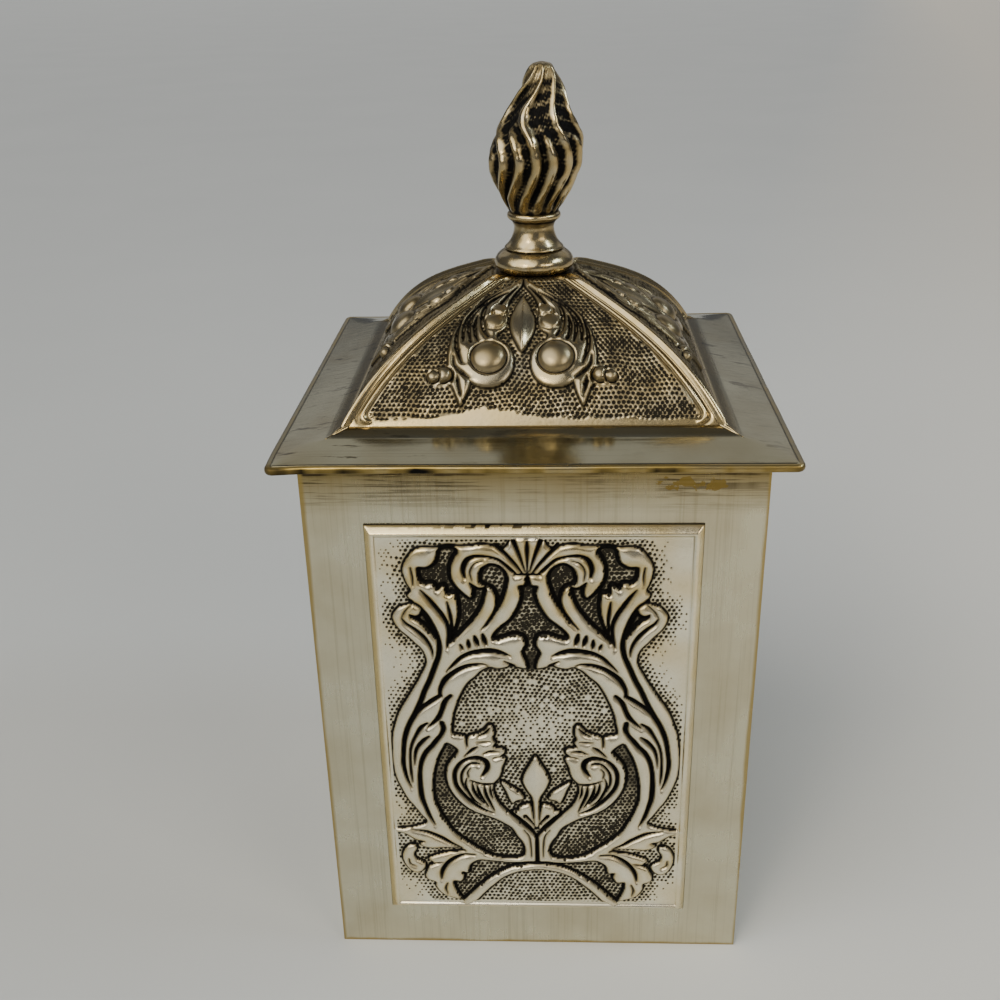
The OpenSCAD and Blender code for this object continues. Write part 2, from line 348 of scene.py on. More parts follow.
SILHOUETTE = [
    (0, 110.4), (2.0, 110.4), (4.3, 110.0), (5.3, 108.4), (6.4, 107.8), (8.2, 108.4), (10.6, 108.8),
    (12.8, 108.4), (15, 108.3), (17.5, 108.5), (20, 108.0), (21.9, 108.1), (23.8, 107.8),
    (25.2, 106.5), (26.4, 104.6), (26.8, 102.7), (26.1, 100), (25.3, 98.3), (26.1, 97.2),
    (25.7, 96.3), (24.9, 95.6), (26.3, 94.8), (27.9, 94.3), (29, 93.1), (29.5, 92), (29.2, 90.6),
    (28.2, 88.9), (26.6, 87.3), (25.2, 85.7), (23.9, 84.3), (23.1, 82.6), (22.9, 80.8),
    (23.3, 79.4), (24, 78), (24.9, 76.1), (26, 74.2), (27.4, 71.7), (28.5, 69.8), (29.6, 67.6),
    (30.4, 65.1), (31.1, 62.4), (31.4, 58.8), (31.5, 56.3), (31.4, 53), (31, 50.5), (30.2, 48),
    (28.9, 44.8), (27.4, 42.4), (26, 40.2), (24.7, 38.3), (25.8, 37.2), (28.5, 36.3), (33, 35.6),
    (30.1, 34.7), (29, 33.9), (27.4, 32.8), (25.6, 32.3), (26.7, 31.6), (25.2, 30.6),
    (23.3, 30.4), (20.5, 30.7), (17.4, 30.4), (16.2, 29.6), (20, 29.2), (22.7, 28.4),
    (24.9, 27.3), (23.9, 26.2), (24.9, 24.8), (25.4, 23.6), (25.8, 22.4), (25.5, 21.3),
    (24.6, 20.8), (23.5, 20.3), (23.5, 19.1), (22.8, 17.7), (21.5, 16.4), (19.4, 15.6),
    (17.3, 15), (17.1, 14), (17, 13.2), (0, 13.2)]
CURL = [
    (27.9, 31.4), (29.6, 30.9), (30.7, 29), (30.8, 27), (30.1, 25.1), (29, 23.7), (27.7, 23.2),
    (26.3, 24), (25.7, 25.5), (26.6, 26.4), (27.7, 27), (28.2, 28), (28.1, 29.2), (27.5, 30.2)]
BEAN = [
    (2.5, 30.6), (2.6, 28.8), (3.5, 27.9), (5.1, 27.5), (7.9, 27.6), (10.6, 28.4), (12.8, 29.8),
    (15.3, 31.7), (17.8, 33.9), (19.4, 35.8), (20.5, 38.1), (21.6, 40.2), (22.4, 42.4),
    (23, 44.6), (23.1, 47.7), (22.9, 50.4), (22.4, 53.2), (21.6, 55.9), (20.5, 58.4),
    (19.4, 60), (17, 58.1), (17.8, 56.3), (18.9, 54.8), (19.6, 53.2), (19.8, 50.7),
    (19.4, 48.2), (18.3, 45.7), (16.7, 43.5), (14.5, 41.6), (12.3, 40.5), (9.8, 39.4),
    (7.3, 37.9), (5.4, 36.4), (4.3, 34.3), (3.1, 32.5)]
HOOK_HOLLOW = [
    (18.1, 97.2), (18.5, 99.2), (19.9, 98.2), (20.8, 99.6), (22.4, 99.5), (23.6, 100.6), (24, 102),
    (23.9, 103.6), (22, 103.7), (20.4, 104.7), (19.9, 106.2), (19.5, 107.8), (18, 108.5),
    (16, 108.3), (15.2, 107.2), (16.3, 105.3), (16.9, 103), (16.6, 100.6), (15.2, 98.5),
    (13.1, 96.6), (12.7, 98.2), (13.3, 100.2), (11.5, 99), (9.7, 98.8), (10, 96.5), (10.8, 94),
    (12.3, 91.5), (14.3, 89), (16.2, 86.9), (17.9, 85.2), (17.2, 88), (16.3, 90.8), (15.9, 93.1),
    (16, 95.6), (16.5, 97.4)]
CROOK_HOLLOW = [
    (26, 92.6), (24.9, 92.2), (23.9, 92.6), (23.4, 93.9), (22.7, 92.6), (21.8, 90.8),
    (20.9, 88.3), (20.7, 86.4), (21.5, 87.4), (22.8, 89.2), (24.2, 90.6), (25.6, 91.5)]
SCROLL_HOLLOW = [
    (11, 103), (9.8, 104.2), (8.2, 104.6), (6.5, 103.8), (5.4, 102.4), (5.1, 100.5), (5.7, 97.7),
    (6.5, 95.3), (7.9, 92.8), (9.5, 90.3), (11.1, 88.8), (9.6, 91.2), (8.4, 93.4), (7.9, 95.5),
    (8.2, 97.5), (9, 98.7), (10.9, 99.6), (11.4, 101)]
KEY_HOLLOW = [
    (0, 101.4), (1.6, 101.3), (1.7, 100.2), (2, 99.5), (3.2, 99.3), (3.1, 98.5), (2.8, 97.8),
    (3, 96.1), (3.7, 94), (5, 91.7), (6.6, 90.2), (8.1, 88.7), (8.9, 87.4), (8.8, 86.6), (8.2, 86.2),
    (6.8, 86.5), (4.6, 87.3), (2.9, 87.2), (2.1, 86.2), (2, 84.9), (2.5, 83.9), (2.8, 83.3),
    (2.5, 82.3), (1.9, 80.8), (1.6, 79.2), (1.5, 77.6), (1.45, 76.2), (0, 76)]
ARCH_HOLLOW = [
    (0, 26.8), (5.4, 26.5), (10.1, 26.9), (13.1, 27.1), (15, 26), (15.6, 24.8), (15.8, 23.4),
    (17.3, 23.4), (16.9, 22.4), (17.1, 21.3), (17.8, 20.5), (19.3, 20.7), (19.4, 19.3),
    (18.9, 17.7), (18, 15.9), (17, 14.9), (16.4, 15.6), (15, 17.1), (12.8, 19.6), (10.1, 22.1),
    (6.8, 24.3), (4, 25.3), (0, 25.8)]
CENTRE_FIELD = [
    (0, 79.3), (1.6, 79.3), (3.2, 79.6), (5, 80.1), (6.2, 79.6), (7.9, 79.3), (9.5, 79.7),
    (11.2, 78.9), (12.8, 77.2), (14.2, 75.9), (15.3, 74.2), (16.4, 71.7), (17.2, 69.5),
    (17.8, 67.3), (18.1, 65.1), (18.3, 62.6), (17.2, 62), (15.6, 61.7), (15, 61.1), (14.2, 61.8),
    (12.3, 62.4), (10.9, 63.5), (9.9, 64.7), (9.2, 64), (9, 62.4), (9.4, 61), (8.8, 60.1),
    (9.3, 58.9), (7.9, 58.4), (6.8, 58.2), (6.9, 57.2), (7.7, 56.5), (6.6, 55.7), (7.3, 53.7),
    (7.6, 52.1), (8.2, 50.4), (9.3, 49), (9.6, 47), (8.9, 44.5), (7.8, 42.6), (6.2, 40.7),
    (4.5, 39.2), (2.8, 37.2), (1.2, 35.4), (0, 33.8)]
ARCH_FIELD = [
    (0, 24.4), (4, 23.7), (7.3, 22.2), (9.5, 20.2), (11.7, 17.8), (13.7, 15.3), (15, 13.2),
    (0, 13.2)]
BUD = [
    (0, 56.4), (0.5, 55.6), (1.3, 54), (2.4, 51.8), (2.9, 49.9), (2.5, 48.4), (1.7, 46.8),
    (0.9, 45.4), (0.55, 43.5), (0.4, 40.5), (0.35, 37.5), (0, 36.8)]
SIDE_LEAF = [
    (7.6, 49.3), (6.7, 47), (5.9, 44.6), (5.2, 43.5), (4.3, 44.3), (2.7, 44.9), (3.5, 46.5),
    (4.6, 47.4), (6, 48.4)]
FOOT_LEAF = [
    (0.4, 36.2), (1.6, 37.6), (3.4, 39.4), (5.1, 41), (3.9, 41.3), (3.7, 42.3), (2.5, 43),
    (1.3, 43.1), (0.9, 41.4), (0.6, 39)]

# Cut strokes, as (distance from the axis, height, half-width).
CUTS = [
    # long channels of the great outer scroll
    [(23.4, 94, .2), (22.3, 92.2, .35), (21.2, 90, .3), (20.4, 87.5, .4), (20, 84.8, .5),
     (20.3, 82.4, .5), (20.9, 80.5, .5), (21.7, 78.3, .5), (22.5, 76.1, .5), (23.6, 73.7, .5),
     (24.6, 70.9, .5), (26, 67.6, .55), (27.3, 65.1, .5), (28.2, 62.7, .5), (28.8, 60.2, .45),
     (29.1, 57.3, .4), (29.3, 54.5, .4), (29, 51.8, .35), (28.5, 49.6, .25), (27.8, 47.7, .08)],
    [(20.3, 72.3, .4), (21.4, 71.6, .5), (23, 70.4, .5), (24.7, 69, .5), (26, 67.4, .4)],
    [(18.1, 72.3, .35), (19.4, 70.8, .5), (20.2, 68.4, .45), (21, 66.6, .5), (22.2, 65.2, .35),
     (23.4, 64, .1)],
    [(20.3, 65.3, .5), (20, 63.7, .5), (20.6, 62.1, .4), (21.6, 60.7, .5), (22.7, 59.1, .5),
     (24.1, 57.4, .5), (25.1, 55.2, .45), (25.6, 52.9, .4), (25.8, 50.4, .45), (25.8, 47.7, .5),
     (25.6, 44.9, .5), (24.9, 42.2, .4), (24.1, 39.7, .35), (23, 37.3, .08)],
    [(23.5, 65.1, .25), (24.9, 64, .4), (26, 62.1, .3), (27.1, 59.6, .25), (27.6, 57.2, .22),
     (27.7, 54.5, .2), (27.7, 51.8, .22), (27.5, 49.2, .08)],
    [(23.3, 61.6, .2), (24.6, 60.5, .4), (26, 58.6, .35), (26.6, 56.5, .25), (26.8, 54, .08)],
    # the crook and the hook above it
    [(27.6, 91.5, .12), (26.8, 90.3, .25), (25.2, 89, .35), (23.5, 87.3, .4), (22.3, 85.5, .3),
     (21.6, 83.6, .2), (21.5, 82.2, .06)],
    [(23.4, 98.3, .1), (21.9, 96.4, .35), (20.5, 94.4, .45), (19.1, 92.3, .45), (18.1, 90.1, .4),
     (17.9, 87.9, .35), (18.1, 85.9, .3), (18.4, 84.4, .1)],
    [(18, 95.5, .12), (17.5, 92.8, .3), (17.2, 90.1, .3), (17.3, 87.3, .2), (17.9, 85.7, .08)],
    [(25.9, 95.6, .3), (24.4, 94.9, .3), (23.4, 94, .25)],
    [(24.9, 99.4, .06), (24.9, 101.5, .15), (25.2, 103.5, .1)],
    [(25.2, 95, .05), (26.8, 93.3, .12), (27.6, 91.8, .05)],
    # beaks, notches and the band over the field
    [(18.7, 78.5, .08), (17.2, 80.2, .3), (15.6, 81.9, .4), (13.7, 83, .5), (11.5, 83.5, .6),
     (9.3, 83.7, .6), (7.1, 83.2, .5), (5.1, 82.4, .1)],
    [(20.4, 72.6, .3), (20.2, 74.2, .4), (19.1, 76.4, .55), (17.5, 78, .55), (15.6, 79.3, .5),
     (13.4, 80.1, .4), (11.2, 80.3, .25), (9.9, 80, .05)],
    [(15.6, 85.2, .15), (15.3, 84.6, .3), (15.1, 83.9, .12)],
    [(13.9, 86.4, .12), (13.8, 85.3, .4), (13.7, 84.3, .15)],
    [(12.5, 87.3, .2), (12.2, 86.2, .5), (11.8, 85, .2)],
    [(10.8, 87.8, .2), (10.5, 86.4, .5), (10.1, 85.2, .2)],
    [(6.4, 81.1, .08), (5.2, 80.4, .25), (4.4, 80, .3)],
    # top scrolls and fleur
    [(14.1, 101.2, .2), (14.4, 103.2, .45), (13.6, 105.2, .5), (12, 106.1, .35), (9.8, 106.1, .25),
     (7.3, 105.4, .3), (5.7, 104.1, .35), (4.3, 102.7, .35), (3.4, 102, .1)],
    [(12.7, 100.6, .06), (13, 102.6, .12), (12, 104.4, .1), (10.2, 105.2, .05)],
    [(2.3, 102.3, .15), (3.8, 104.4, .3), (5.6, 106.6, .35), (7.4, 108.5, .5)],
    [(1.7, 102.6, .1), (2.4, 105, .22), (3.4, 108, .35), (4.3, 110.4, .55)],
    [(0, 101, .4), (0, 102.6, .12), (0, 105, .22), (0, 108, .35), (0, 109.4, .2)],
    [(1.3, 101.9, .25), (2.6, 102, .2), (3.9, 101.8, .12)],
    # small scroll, its comb and the leaf tips over it
    [(11.9, 51, .2), (11, 52.4, .45), (10.6, 53.6, .5), (11, 55, .6), (12.3, 55.8, .6),
     (13.9, 55.9, .5), (15.6, 55.3, .4), (17, 54, .4), (17.9, 52.1, .4), (18, 49.9, .4),
     (17.5, 47.9, .45), (16.1, 45.7, .45), (14.2, 43.5, .4), (11.7, 41.6, .35), (9.5, 40.7, .1)],
    [(12.6, 54.3, .3), (13.7, 54.5, .35), (14.9, 54, .25), (16, 52.6, .22), (16.5, 51, .22),
     (16.4, 49, .22), (15.7, 46.9, .08)],
    [(15.3, 50.4, .06), (15.7, 48.5, .22), (15, 46.3, .3), (13.8, 44.2, .25), (12.3, 43, .08)],
    [(14.2, 49.2, .06), (13.9, 47.1, .3), (13.1, 45.2, .3), (11.7, 43.3, .1)],
    [(13.1, 48.6, .06), (12.7, 46.3, .35), (11.8, 44.4, .3), (10.6, 42.4, .1)],
    [(11.5, 48.4, .06), (11.2, 46, .35), (10.4, 43.8, .3), (9.4, 41.4, .1)],
    [(10.2, 48.4, .06), (10.1, 46.3, .25), (9.6, 44.7, .08)],
    [(14.7, 49.9, .05), (13, 49, .25), (11, 48.6, .3), (9.4, 48.9, .15)],
    [(14.9, 50.6, .1), (15.1, 52, .12), (14.4, 53.2, .06)],
    [(15.6, 56.4, .08), (13.9, 58.1, .35), (12.8, 58.9, .12)],
    [(11.5, 57, .08), (9.8, 57.7, .3), (8, 57.6, .1)],
    [(15, 59, .12), (15.1, 60.4, .2), (15, 61.4, .2)],
    [(12.5, 61.7, .1), (10.9, 62.6, .28), (9.9, 63.9, .1)],
    [(12.8, 60.2, .06), (11.2, 60.2, .15), (9.9, 60.3, .06)],
    [(9.3, 55.9, .05), (8.4, 56.2, .12), (7.4, 56.2, .06)],
    # foot of the stem
    [(0, 27, .4), (0, 30, .38), (0, 33, .36), (0, 35, .2)],
    [(0.3, 34.6, .2), (1.8, 36.5, .4), (3.5, 38.5, .5), (5.2, 40.3, .5)],
    [(0.5, 37.4, .1), (1.3, 38.6, .25), (2.4, 39.9, .35)],
    [(1.1, 28.2, .05), (1.2, 31, .1), (1.6, 34, .1), (2.8, 36, .05)],
    # leaves at the foot
    [(28.3, 35.8, .08), (24.9, 35.1, .4), (21.6, 33.4, .45), (19.4, 31.8, .35), (17.1, 30.6, .08)],
    [(14.2, 28.6, .15), (16.7, 28.6, .3), (18.9, 27.5, .45), (20.8, 25.7, .45), (21.9, 23.5, .4),
     (22.2, 21.1, .1)],
    [(21.8, 26.1, .08), (23.6, 25.8, .2), (24.6, 25.4, .35)],
    [(20.8, 20, .05), (21.3, 18.4, .15), (20.9, 16.9, .05)],
    [(29.5, 27.2, .05), (29.3, 25.8, .14), (28, 25.1, .05)],
]


def compose(raised, hollow, fields, islands, cuts, rise):
    """Height above the ground, and tarnish with painted shade, of a relief, from its drawn distances.

    solid is the distance to the nearest edge on a raised surface, negative off it.
    """
    solid = np.minimum(-raised, np.minimum(hollow, fields))
    solid = np.maximum(solid, -islands)
    solid = np.minimum(solid, cuts - 0.03)
    height = 0.38 * rise * smoothstep((solid + 0.35) / 0.6)
    height += 0.68 * rise * (1 - np.exp(-np.clip(solid + 0.15, 0, None) / 1.35))
    height -= 0.12 * smoothstep((0.1 - cuts) / 0.3)
    # Painted shade on the raised tops: darkest at their edges and paler towards their middles, as soft
    # shading across each leaf.
    painted_top_shade = 0.5 * np.exp(-np.clip(solid, 0, None) / 0.85)
    tarnish = np.maximum(smoothstep((0.32 - solid) / 0.46), painted_top_shade)
    open_ground = (raised > 0) & (cuts > 0.05)
    tarnish = np.where(open_ground, smoothstep((0.95 - raised) / 0.7), tarnish)
    return solid, height, tarnish


# ---------------------------------------------------------------- side panels

# Height of the panel's moulding above the wall, by distance in from its edge.
MOULDING = [(0, 0.3), (0.12, 0.6), (0.45, 0.95), (0.8, 1.35), (1.15, 1.72), (1.42, 1.95),
            (1.6, 2.0), (1.78, 1.97), (1.98, 1.8), (2.15, 1.6), (2.3, 1.5)]
MOULDING_W = MOULDING[-1][0]
# Height of the ornament above the field.
PANEL_RISE = 1.36
# The grid has four columns and about three rows to a punch mark, so that all marks come out alike.
PANEL_PITCH = 1.0
PANEL_COLUMN = 0.25
PANEL_ROW = 0.292


def axis_lean(z):
    """How far the hand-struck ornament's own axis stands off the panel's middle."""
    return np.interp(z, [13, 27, 56, 80, 88, 94, 102], [0.8, 0.25, 0, -0.6, -0.8, -1.0, -1.25])


def leaning(lines):
    """Lines drawn on the left half, measured again from the ornament's own axis."""
    return [[(q[0] + axis_lean(q[1]) if q[0] else 0, *q[1:]) for q in line] for line in lines]


def edged_lines(low, high, spacing):
    """Grid lines from low to high: at the moulding's corners, then evenly."""
    edge = np.array([d for d, _ in MOULDING])
    count = int((high - low - 2 * MOULDING_W) / spacing)
    middle = np.linspace(low + MOULDING_W, high - MOULDING_W, count + 1)[1:-1]
    return np.concatenate([low + edge, middle, (high - edge)[::-1]])


def panel_grid():
    """The panel's grid, its relief, first tarnish and painted shade, and where its hollows and fields
    are.
    """
    panel = SimpleNamespace()
    columns = edged_lines(panel_low[0], panel_high[0], PANEL_COLUMN)
    rows = edged_lines(panel_low[2], panel_high[2], PANEL_ROW)
    panel.x, panel.z = np.meshgrid(columns, rows)
    from_side = np.minimum(panel.x - panel_low[0], panel_high[0] - panel.x)
    from_end = np.minimum(panel.z - panel_low[2], panel_high[2] - panel.z)
    panel.edge = np.minimum(from_side, from_end)
    sheet = Relief(panel.x - axis_lean(panel.z), panel.z)
    panel.axis_x = sheet.x
    panel.raised = sheet.regions(leaning([SILHOUETTE, CURL]))
    panel.bud = sheet.regions(leaning([BUD]))
    hollows = [BEAN, HOOK_HOLLOW, CROOK_HOLLOW, SCROLL_HOLLOW, KEY_HOLLOW, ARCH_HOLLOW]
    hollow = sheet.regions(leaning(hollows))
    field = sheet.regions(leaning([CENTRE_FIELD, ARCH_FIELD]))
    islands = sheet.regions(leaning([BUD, SIDE_LEAF, FOOT_LEAF]))
    cuts = sheet.strokes(leaning(CUTS))
    panel.solid, panel.height, panel.tarnish = compose(
        panel.raised, hollow, field, islands, cuts, PANEL_RISE)
    panel.in_hollow = (hollow < 0) & (panel.solid < 0)
    panel.in_field = (field < 0) & (panel.solid < 0)
    # The centre of the field is worn bright, and the upper hollows are the darkest.
    panel.worn = np.exp(-(panel.x / 10.5) ** 2 - ((panel.z - 65) / 7.0) ** 2)
    panel.high = smoothstep((panel.z - 78) / 10)
    return panel


def darken_grounds(panel):
    """Tarnish of the hollows and fields: black beside the ornament, paler in their middles."""
    cloud = ripple(panel.x, panel.z, 7.0, 11)
    arms = smoothstep((panel.z - 36) / 14) * (panel.z < 62) * (np.abs(panel.x) > 15)
    ground = np.clip(0.34 + 0.10 * cloud + 0.42 * arms + 0.12 * panel.high, 0, 1)
    shore = smoothstep((1.5 + 0.8 * panel.high + panel.solid) / (1.1 + 0.7 * panel.high))
    panel.tarnish = np.where(panel.in_hollow, np.maximum(ground, shore), panel.tarnish)
    foot = smoothstep((56 - panel.z) / 16) * (panel.z > 30)
    ground = np.clip(0.06 * (1 - panel.worn) * (panel.z > 50) + 0.34 * foot + 0.03 * cloud, 0, 1)
    shore = smoothstep((1.25 + panel.solid) / 0.95)
    panel.tarnish = np.where(panel.in_field, np.maximum(ground, shore), panel.tarnish)
    # The neck between the key-shaped hollow and the centre field.
    neck = np.exp(-(panel.axis_x / 1.7) ** 2 - ((panel.z - 81) / 3.0) ** 2)
    neck = np.maximum(panel.tarnish, 0.85 * smoothstep(2.2 * neck - 0.4))
    panel.tarnish = np.where(panel.in_hollow | panel.in_field, neck, panel.tarnish)


def punch_grounds(panel):
    """Punch marks: everywhere in the hollows, thinning out over the open ground."""
    margin = np.where(panel.raised > 0, panel.raised, 9)
    shore = 5.4 + 1.8 * ripple(panel.x, panel.z, 14.0, 5)
    share = np.clip(1.3 - margin / shore, 0, 1) * (margin < 6.9) * (panel.edge > MOULDING_W + 0.2)
    share = np.where((panel.raised > 0.3) & (panel.solid < 0), share, 0)
    share = np.where(panel.in_hollow | panel.in_field, 1.0, share)
    share = share * (panel.solid < -0.15) * (1 - 0.3 * panel.worn * panel.in_field)
    radius = np.where(panel.in_field, 0.395 - 0.07 * panel.worn - 0.02 * (panel.z < 30),
                      np.clip(0.42 - 0.04 * margin, 0.27, 0.39))
    radius = np.where(panel.in_hollow, 0.435 + 0.035 * panel.high, radius)
    marks, punch = Relief(panel.x, panel.z).pits(PANEL_PITCH, 21, share, radius)
    panel.punch = punch * (panel.edge > MOULDING_W + 0.3)
    free = smoothstep((panel.edge - MOULDING_W) / 4)
    panel.height -= 0.30 * marks * free
    # The bud's ridge, and a soft unevenness of the tops and of the whole field.
    panel.height += 0.30 * smoothstep(-panel.bud / 1.4) * np.exp(-np.abs(panel.axis_x) / 0.7)
    tops = (panel.solid > 0) * smoothstep(panel.solid / 0.5)
    swell = 0.05 * ripple(panel.x, panel.z, 16.0, 32) * free
    panel.height += 0.035 * ripple(panel.x, panel.z, 3.0, 31) * tops + swell


def stain_panel(panel, patchy):
    """Stains near the panel's top, and dark tarnish at the moulding's foot, edge and lip."""
    tops = 0.30 * smoothstep((panel.z - 84) / 16) * (0.6 + 0.5 * patchy) * (panel.solid > 0.2)
    panel.tarnish = np.maximum(panel.tarnish, tops)
    stained = np.clip(ripple(panel.x, panel.z, 8.0, 101) + 0.3, 0, 1) * smoothstep((panel.z - 102) / 6)
    panel.tarnish = np.maximum(panel.tarnish, 0.34 * stained * (panel.raised > 0))
    middle = np.exp(-(panel.x / 20.0) ** 2)
    under = smoothstep((3.4 - panel.edge) / 0.7) * smoothstep((panel.z - 106) / 2) * middle
    ragged = np.clip(0.55 + 0.9 * ripple(panel.x, panel.z, 4.5, 103), 0, 1)
    panel.tarnish = np.maximum(panel.tarnish, 0.9 * under * ragged)
    crevice = smoothstep((MOULDING_W + 0.2 - panel.edge) / 0.4) * smoothstep((panel.edge - 1.85) / 0.4)
    crevice *= 0.25 + 0.75 * smoothstep((panel.z - 96) / 12)
    lowest = 0.3 * smoothstep((15 - panel.z) / 1.5)
    moulding = np.maximum(0.8 * crevice, lowest)
    panel.tarnish = np.where(panel.edge < MOULDING_W + 0.3, moulding, panel.tarnish)
    panel.tarnish = np.maximum(panel.tarnish, smoothstep((0.2 - panel.edge) / 0.15))
    spotted = smoothstep((ripple(panel.x, panel.z, 1.7, 77) + 0.02) / 0.2)
    spotted = spotted * (panel.edge < 0.5) * (panel.z > 110)
    panel.tarnish = np.maximum(panel.tarnish, 0.9 * spotted * np.exp(-((panel.x + 8) / 20.0) ** 2))


def panel_gold(panel, patchy):
    """Where the plate is worn to gold: moulding, upper and lowest leaves, and open ground."""
    moulding = 0.75 + 0.3 * ripple(panel.x, panel.z, 9.0, 8)
    moulding = moulding + 0.4 * smoothstep((panel.z - 109) / 1.5) - 0.012 * panel.x
    gold = smoothstep((MOULDING_W - 0.3 - panel.edge) / 0.8) * np.clip(moulding, 0, 1)
    brow = smoothstep((panel.z - 84) / 14) * 1.1
    brow = brow + 0.5 * smoothstep((37 - panel.z) / 4) * smoothstep((np.abs(panel.x) - 14) / 6)
    leaves = 1.3 * np.exp(-np.clip(panel.solid, 0, None) / 1.5) * (0.3 + brow * patchy)
    gold = np.maximum(gold, np.where(panel.solid > 0, leaves, 0) * (panel.edge > MOULDING_W))
    ground = np.clip(0.22 + 0.3 * ripple(panel.x, panel.z, 15.0, 102), 0, 1)
    return np.maximum(gold, ground * (panel.raised > 0))


def slab(top, back_y):
    """Points and faces of a grid of points, closed by sides and a flat back."""
    n_rows, n_cols = top.shape[:2]
    top = top.reshape(-1, 3)
    index = np.arange(len(top)).reshape(n_rows, n_cols)
    rim = np.concatenate([index[0, :-1], index[:-1, -1], index[-1, :0:-1], index[:0:-1, 0]])
    back = top[rim].copy()
    back[:, 1] = back_y
    ring = np.arange(len(rim))
    back_ring = len(top) + ring
    sides = np.stack([rim, back_ring, len(top) + (ring + 1) % len(rim), np.roll(rim, -1)], -1)
    faces = grid_faces(n_rows, n_cols) + sides.tolist() + [back_ring[::-1].tolist()]
    return np.vstack([top, back]), faces


def panel_piece():
    """The front panel: moulding, ornament and punched ground in one closed mesh."""
    panel = panel_grid()
    darken_grounds(panel)
    punch_grounds(panel)
    patchy = np.clip(0.5 + 0.8 * ripple(panel.x, panel.z, 6.0, 14), 0, 1)
    stain_panel(panel, patchy)
    profile = np.interp(panel.edge, *np.transpose(MOULDING))
    y = panel_high[1] - profile - panel.height * (panel.edge > MOULDING_W)
    points, faces = slab(np.stack([panel.x, y, panel.z], -1), panel_high[1])
    behind = len(points) - panel.x.size
    return mesh_piece("relief_panel_front", points, faces, {
        "tarnish": with_back(panel.tarnish, behind, 0.8),
        "punch": with_back(panel.punch, behind, 0.0),
        "gold": with_back(panel_gold(panel, patchy), behind, 0.5)})


# ---------------------------------------------------------------- dome

# The dome's side curve, a cubic from its foot to the point where its sides would meet.
DOME_RISE = 27.6
SIDE_X = [DOME_FOOT_HALF, 2 * DOME_FOOT_HALF * 0.368, 2 * DOME_FOOT_HALF * 0.192, 0]
SIDE_Z = [0, DOME_RISE * 0.623, DOME_RISE * 0.677, DOME_RISE]
# Lines of a dome side's outer face, and how many of them there are to one line of its inner face.
GORE_ROWS, GORE_COLS, GORE_STEP = 169, 281, 7
CROWN_HOLE = 3.2


def cubic(c, t):
    """A cubic curve's value at t, from its four control values."""
    rest = 1 - t
    return rest ** 3 * c[0] + 3 * t * rest ** 2 * c[1] + 3 * t * t * rest * c[2] + t ** 3 * c[3]


def side_curve():
    """Half-width, height and length along the dome's side, with its outward direction."""
    t = np.linspace(0, 1, 2001)
    half, z = cubic(SIDE_X, t), DOME_FOOT_Z + cubic(SIDE_Z, t)
    below = z <= CROWN_Z
    half, z = half[below], z[below]
    # The flat crown that the finial stands on.
    crown = np.linspace(half[-1], CROWN_HOLE, 60)[1:]
    half, z = np.append(half, crown), np.append(z, 0 * crown + CROWN_Z)
    length = np.concatenate([[0], np.cumsum(np.hypot(np.diff(half), np.diff(z)))])
    dh, dz = np.gradient(half, length), np.gradient(z, length)
    size = np.hypot(dh, dz)
    return half, z, length, dz / size, -dh / size


CURVE = side_curve()


def on_side(s):
    """Half-width, height and outward direction at a length s up the dome's side."""
    half, z, length, out, up = CURVE
    return [np.interp(s, length, v) for v in (half, z, out, up)]


DOME_LENGTH = CURVE[2][-1]

# Half-outlines on a dome side, as (distance from the axis, length up from its foot).
GORE_BUD = [(0, 31.6), (0.8, 30), (1.9, 27.4), (2.6, 24.5), (2.4, 21.5), (1.5, 18.8), (0, 16.2)]
GORE_SCROLL = [
    (0.3, 37.6), (2, 36), (5, 33.6), (8.2, 30.6), (11.5, 26.8), (13.8, 22.5), (15, 18),
    (15.3, 14.6), (14.9, 12.4), (13.2, 11.2), (11.4, 10.2), (9.4, 8.6), (6.8, 8.1), (4.2, 8.8),
    (2.5, 10.6), (1.7, 13.2), (2, 15.8), (3.2, 17.9), (5, 19.2), (5.2, 20.6), (4.2, 21.6),
    (3.4, 23.2), (3.2, 25.6), (3.3, 28), (2.7, 30.6), (1.5, 33.2), (0.3, 35.4)]
GORE_TAIL = [
    (14.8, 13), (15.6, 12.9), (17, 12.6), (18.6, 12), (19.4, 10.6), (18.6, 9.2), (17, 9), (15.2, 9),
    (14.3, 8.4), (13.4, 6.4), (12.5, 4.2), (11.4, 6.2), (10.6, 8.8), (11, 10.4), (12.8, 12)]
GORE_CUTS = [
    [(4.6, 33.2, .1), (8, 30.2, .3), (10.8, 26.4, .4), (12.2, 22.5, .4), (12.3, 18.8, .1)],
    [(7.4, 30, .08), (9.8, 27.3, .3), (11, 24, .36), (11.1, 21.2, .35), (10.6, 18.6, .1)],
    [(9.5, 26, .1), (10, 23.4, .34), (9.8, 20.8, .3), (9.2, 19, .1)],
    [(12.6, 25, .08), (13.6, 20.8, .33), (13.5, 17, .35), (12.4, 13.6, .1)],
    [(3.2, 33, .1), (5.9, 30.9, .35), (7.9, 28.2, .4), (8.5, 25, .42), (8.1, 22, .4), (7, 20, .15)],
    [(1.2, 34.8, .12), (2.9, 32.4, .28), (4.2, 30.2, .25), (6, 27.4, .2), (6.4, 25.9, .08)],
    [(14.2, 15.4, .08), (13.9, 13.2, .2), (12.4, 11.4, .3), (10.8, 10.2, .1)],
    [(13.2, 10.6, .08), (13, 8.6, .25), (12.4, 6.4, .06)],
    [(14.4, 12, .1), (14.2, 10.4, .28), (14.4, 9.2, .1)],
]
# Round bosses: distance from the axis, length up from the foot, radius, height, depth of their ring.
BOSSES = [(6.9, 14.8, 3.5, 1.7, 1.0), (16, 10.9, 1.5, 0.85, 1.0), (18.2, 10.5, 1.1, 0.6, 1.0),
          (4.7, 27.2, 1.4, 0.3, 0.45), (5.8, 23.9, 1.9, 0.45, 0.5)]
